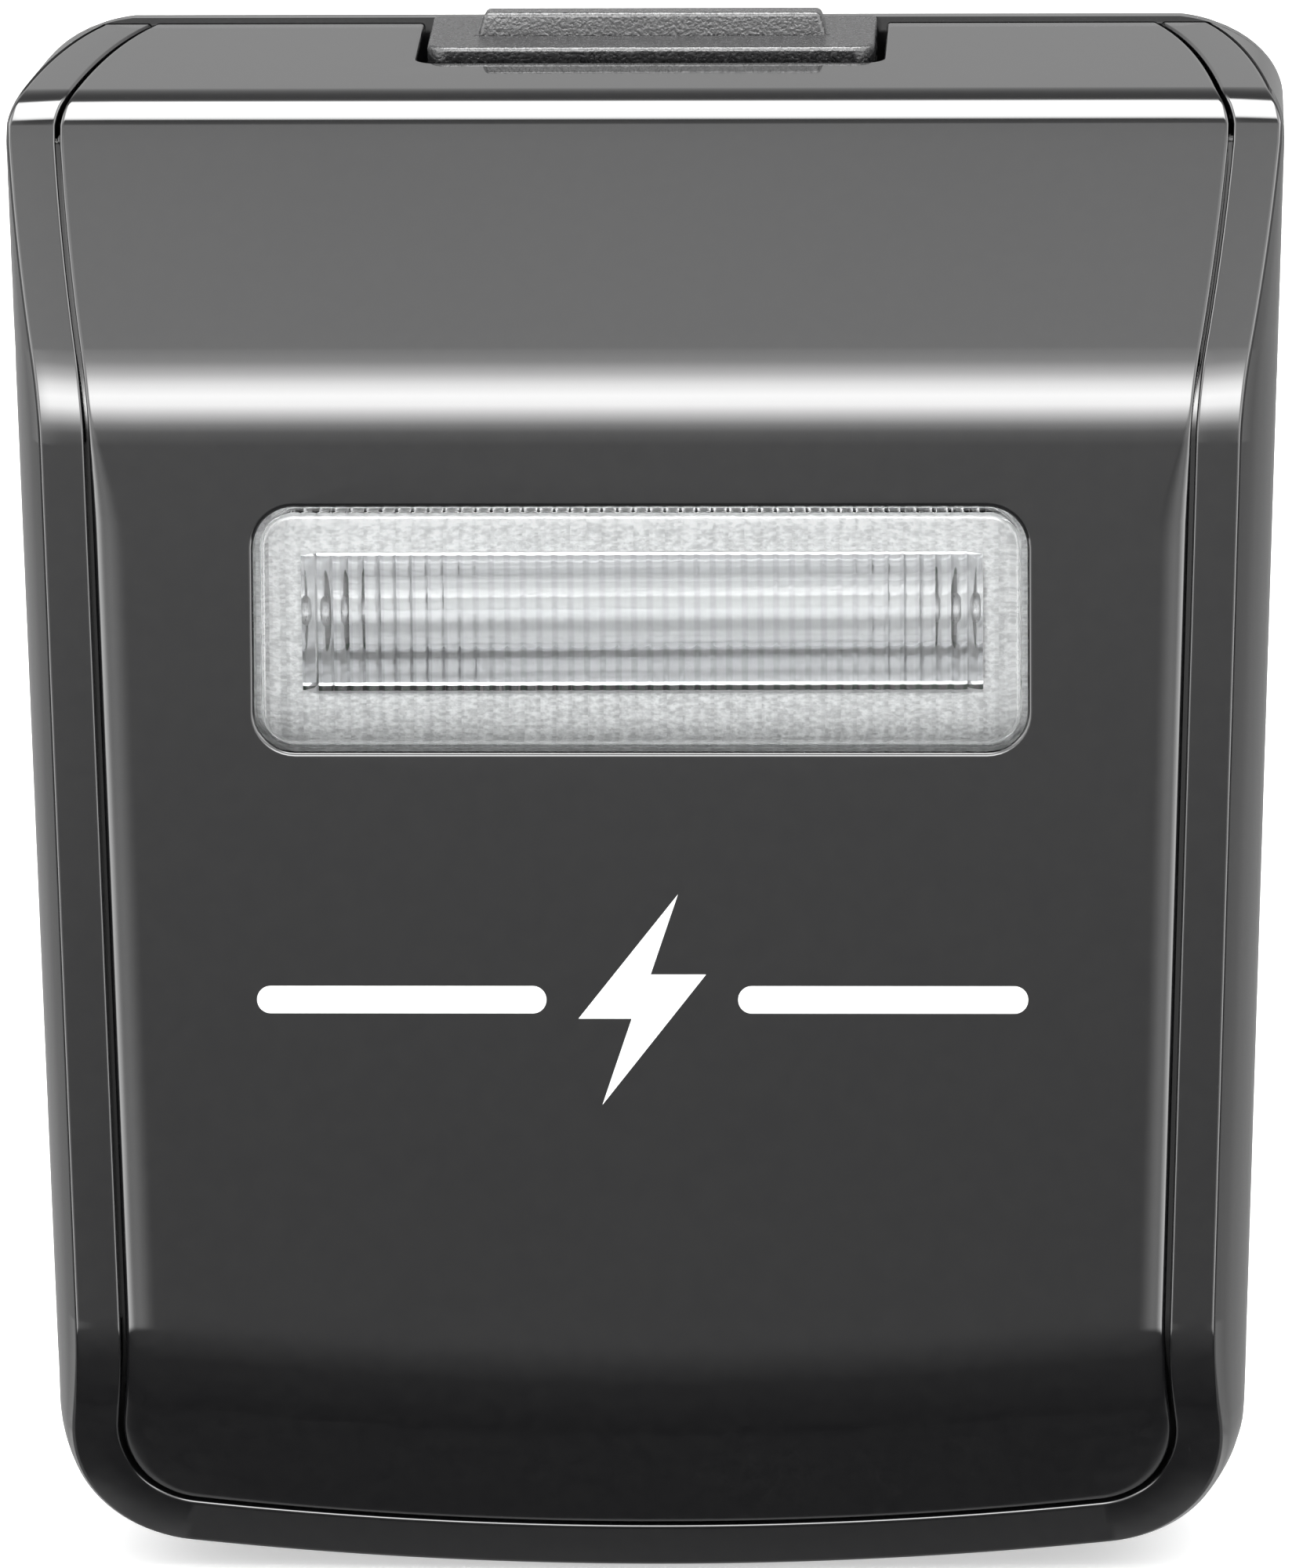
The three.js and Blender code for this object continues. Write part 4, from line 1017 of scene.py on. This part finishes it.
def retaining_clip(name, side, looks):
    """A spring-steel E-clip: an open ring with three inner lugs."""
    points = []
    inner, outer, gap = 1.3, 2.5, math.radians(34)
    steps = 60
    for i in range(steps + 1):
        a = gap + (2 * math.pi - 2 * gap) * i / steps
        points.append((outer * math.cos(a), outer * math.sin(a)))
    for i in range(steps, -1, -1):
        a = gap + (2 * math.pi - 2 * gap) * i / steps
        lug = min(abs(a - c) for c in (math.pi / 2, math.pi, 1.5 * math.pi))
        r = inner if lug < 0.28 else 1.75
        points.append((r * math.cos(a), r * math.sin(a)))
    n = len(points)
    verts = [(side * POST_X + p, -POST_FORWARD + q, z) for z in (25.82, 26.08) for p, q in points]
    faces = [tuple(range(n)), tuple(range(2 * n - 1, n - 1, -1))]
    faces += [(i, (i + 1) % n, n + (i + 1) % n, n + i) for i in range(n)]
    clip = link("clip_" + name + "_stamping", verts, faces)
    bevel(clip, 0.05, 1)
    place(clip, "button", "steel", looks["steel"], "retaining_clip_" + name)


def tube_along(name, path, radius, sides=10):
    """A round wire with closed ends along a path of points in millimetres."""
    path = [Vector(p) for p in path]
    verts, faces = [], []
    side = Vector((0, 0, 1))
    for i, p in enumerate(path):
        ahead = (path[min(i + 1, len(path) - 1)] - path[max(i - 1, 0)]).normalized()
        side = (side - ahead * side.dot(ahead)).normalized() if abs(side.dot(ahead)) < 0.999 else ahead.orthogonal().normalized()
        other = ahead.cross(side)
        verts += [p + radius * (math.cos(a) * side + math.sin(a) * other)
                  for a in (2 * math.pi * k / sides for k in range(sides))]
    for i in range(len(path) - 1):
        for k in range(sides):
            m = (k + 1) % sides
            faces.append((i * sides + k, i * sides + m, (i + 1) * sides + m, (i + 1) * sides + k))
    faces += [tuple(range(sides - 1, -1, -1)), tuple(range(len(verts) - sides, len(verts)))]
    return link(name, verts, faces)


def button_spring(name, side, looks):
    """A compression coil, wound at an even pitch from end to end."""
    radius, wire, turns, foot, head = 2.1, 0.28, 4.0, 28.3, 33.3
    path = []
    steps = 32
    lift = head - foot - 2 * wire
    for i in range(int(turns * steps) + 1):
        t = i / (turns * steps)
        a = 2 * math.pi * i / steps
        path.append((side * POST_X + radius * math.cos(a), -POST_FORWARD + radius * math.sin(a),
                     foot + wire + lift * t))
    spring = tube_along("spring_" + name + "_coil", path, wire)
    place(spring, "case", "steel", looks["steel"], "button_spring_" + name, angle=60)
    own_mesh(spring)


def button_guide(looks):
    body = block("button_guide_moulding", (-17, 17), (4.2, 11.6), (26.6, 28.0), 0.2, 2)
    for side in (-1, 1):
        boolean(body, post(side * POST_X, POST_FORWARD, 25, 30, 1.8), "DIFFERENCE")
        boolean(body, post(side * 14.5, 7.0, 25, 30, 1.15), "DIFFERENCE")
    for k in range(7):
        x = -4.5 + 1.5 * k
        boolean(body, block("relief", (x - 0.4, x + 0.4), (5.2, 10.6), (27.3, 29)), "DIFFERENCE")
    clean(body)
    place(body, "case", "matte_black", looks["matte_black"], "button_guide", weighted=True)


# ---- Contacts -------------------------------------------------------------------------------------
def contact_x(index):
    return (index - (CONTACT_COUNT - 1) / 2) * CONTACT_PITCH


def contacts(looks):
    block_z = (CONTACT_Z - BLOCK_HALF_Z, CONTACT_Z + BLOCK_HALF_Z)
    body = block("contact_block_moulding", (-BLOCK_HALF_X, BLOCK_HALF_X), (0.9, 4.7), block_z, 0.3, 3)
    foot_z = (block_z[0] - 1.5, block_z[1] + 1.5)
    boolean(body, block("foot", (-11.5, 11.5), (BODY_REAR, 4.7), foot_z, 0.2, 2), "UNION")
    for i in range(CONTACT_COUNT):
        boolean(body, rod(contact_x(i), CONTACT_Z, -1, 5.7, 0.9), "DIFFERENCE")
        boolean(body, rod(contact_x(i), CONTACT_Z, 1.9, 5.7, 1.3), "DIFFERENCE")
        cone = [(-0.8, 0), (-0.8, 1.25), (-1.2, 0.9), (-1.2, 0)]
        boolean(body, turned("lead_in", cone, (contact_x(i), 0, CONTACT_Z), "Y", 40), "DIFFERENCE")
    clean(body)
    place(body, "case", "matte_black", looks["matte_black"], "contact_block", weighted=True)
    for i in range(CONTACT_COUNT):
        rows = [(-0.5 + 0.35 * (1 - math.cos(a)), 0.6 * math.sin(a)) for a in (math.pi / 2 * k / 8 for k in range(9))]
        rows += [(2.2, 0.6), (2.2, 0.95), (2.25, 1.0), (2.95, 1.0), (3.0, 0.95), (3.0, 0)]
        pin = turned("contact_%d_turned" % (i + 1), [(-f, r) for f, r in rows], (contact_x(i), 0, CONTACT_Z), "Y", 36)
        place(pin, "contact_pin_%d" % (i + 1), "gold", looks["gold"], "contact_pin_%d" % (i + 1))


# ---- Screws ---------------------------------------------------------------------------------------
def screw(name, x, z, at, tip, looks):
    """A pan-head screw along Y with a cross recess; "at" is the head's outer face."""
    way = 1 if tip > at else -1
    seat = at + way * 0.7
    rows = [(at + way * 0.0, 0), (at, 1.1), (at + way * 0.08, 1.5), (at + way * 0.25, 1.78), (at + way * 0.45, 1.9),
            (seat, 1.9), (seat, 0.85)]
    length = abs(tip - seat)
    pitch = 0.5
    for k in range(1, int((length - 0.9) / pitch)):
        d = seat + way * (0.3 + k * pitch)
        rows += [(d - way * 0.2, 0.68), (d - way * 0.05, 0.85), (d + way * 0.05, 0.85), (d + way * 0.2, 0.68)]
    rows += [(tip - way * 0.5, 0.6), (tip, 0.12), (tip, 0)]
    body = turned(name + "_turned", [(-f, r) for f, r in rows], (x, 0, z), "Y", 40)
    for across, tall in ((0.2, 1.05), (1.05, 0.2)):
        low, high = sorted((at - way, at + way * 0.45))
        boolean(body, block("recess", (x - across, x + across), (low, high), (z - tall, z + tall)), "DIFFERENCE")
    clean(body)
    place(body, "case", "steel", looks["steel"], name)


def guide_screw(name, side, looks):
    x, forward = side * 14.5, 7.0
    rows = [(25.6, 0), (25.6, 1.1), (25.7, 1.6), (25.95, 1.9), (26.3, 1.9), (26.3, 0.85)]
    for k in range(1, 11):
        d = 26.4 + k * 0.5
        rows += [(d - 0.2, 0.68), (d - 0.05, 0.85), (d + 0.05, 0.85), (d + 0.2, 0.68)]
    rows += [(31.9, 0.6), (32.3, 0.12), (32.3, 0)]
    body = turned(name + "_turned", rows, (x, -forward, 0), "Z", 40)
    for across, deep in ((0.2, 1.05), (1.05, 0.2)):
        tool = block("recess", (x - across, x + across), (forward - deep, forward + deep), (24.6, 26.05))
        boolean(body, tool, "DIFFERENCE")
    clean(body)
    place(body, "case", "steel", looks["steel"], name)


def screws(looks):
    names = ("top_left", "top_right", "bottom_left", "bottom_right")
    for name, (x, z) in zip(names, REAR_SCREWS):
        screw("rear_screw_" + name, x, z, 0.7, 9.5, looks)
    for name, side in (("left", -1), ("right", 1)):
        for level, dz in (("lower", -5.2), ("upper", 5.2)):
            screw("holder_screw_%s_%s" % (level, name), side * 21.6, WINDOW_Z + dz, 16.0, 22.3, looks)
        screw("board_screw_" + name, side * 17.0, -6.0, 7.2, 1.5, looks)
        guide_screw("guide_screw_" + name, side, looks)


# ---- Printed mark ---------------------------------------------------------------------------------
MARK_Z = -7.6


def mark_piece(name, outline, looks):
    n = len(outline)
    rear, front = DEPTH - 0.01, DEPTH + PRINT_THICKNESS
    verts = [(x, -f, z) for f in (rear, front) for x, z in outline]
    faces = [tuple(range(n)), tuple(range(2 * n - 1, n - 1, -1))]
    faces += [(i, (i + 1) % n, n + (i + 1) % n, n + i) for i in range(n)]
    piece = link(name, verts, faces)
    place(piece, "case", None, looks["print_white"])


def mark(looks):
    """A plain lightning bolt between two bars, the common sign for flash."""
    bolt = [(1.7, 5.0), (-3.0, -0.9), (-0.5, -0.9), (-1.9, -5.0), (3.0, 1.2), (0.4, 1.2)]
    mark_piece("mark_bolt", [(x, MARK_Z + z) for x, z in bolt], looks)
    for name, x in (("left", -11.3), ("right", 11.3)):
        mark_piece("mark_bar_" + name, rounded(13.6, 1.3, 0.64, MARK_Z, x), looks)


# ---- Assembly -------------------------------------------------------------------------------------
add_camera()
add_world()
bpy.context.scene.view_settings.view_transform = "Standard"
LOOKS = make_looks()
front_cover(LOOKS)
housing(LOOKS)
rear_cover(LOOKS)
window_lens(LOOKS)
bezel(LOOKS)
reflector(LOOKS)
flash_tube(LOOKS)
release_button(LOOKS)
button_guide(LOOKS)
contacts(LOOKS)
screws(LOOKS)
mark(LOOKS)

PAINT = {row["node"]: row["material_slot"] for row in frame["record"]["subparts"]}
for name, node in frame["nodes"].items():
    node.data.materials.clear()
    node.data.materials.append(LOOKS[PAINT[name]])

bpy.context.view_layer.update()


def add_floor():
    size = 3000.0
    z = CAD_BOX[0].z / MM - 0.1
    corners = [(-size, -size, z), (size, -size, z), (size, size, z), (-size, size, z)]
    floor = link("floor", corners, [(0, 1, 2, 3)])
    made, g, p = shader("floor_white", roughness=0.6, emission_color=(1, 1, 1, 1), emission_strength=0.5)
    g.tree.links.new(g.ramp(noise(g, 30, 2), ((0.3, (0.86, 0.86, 0.86)), (0.7, (0.9, 0.9, 0.9)))), p.inputs["Base Color"])
    floor.data.materials.append(made)
    floor.visible_glossy = False


add_floor()
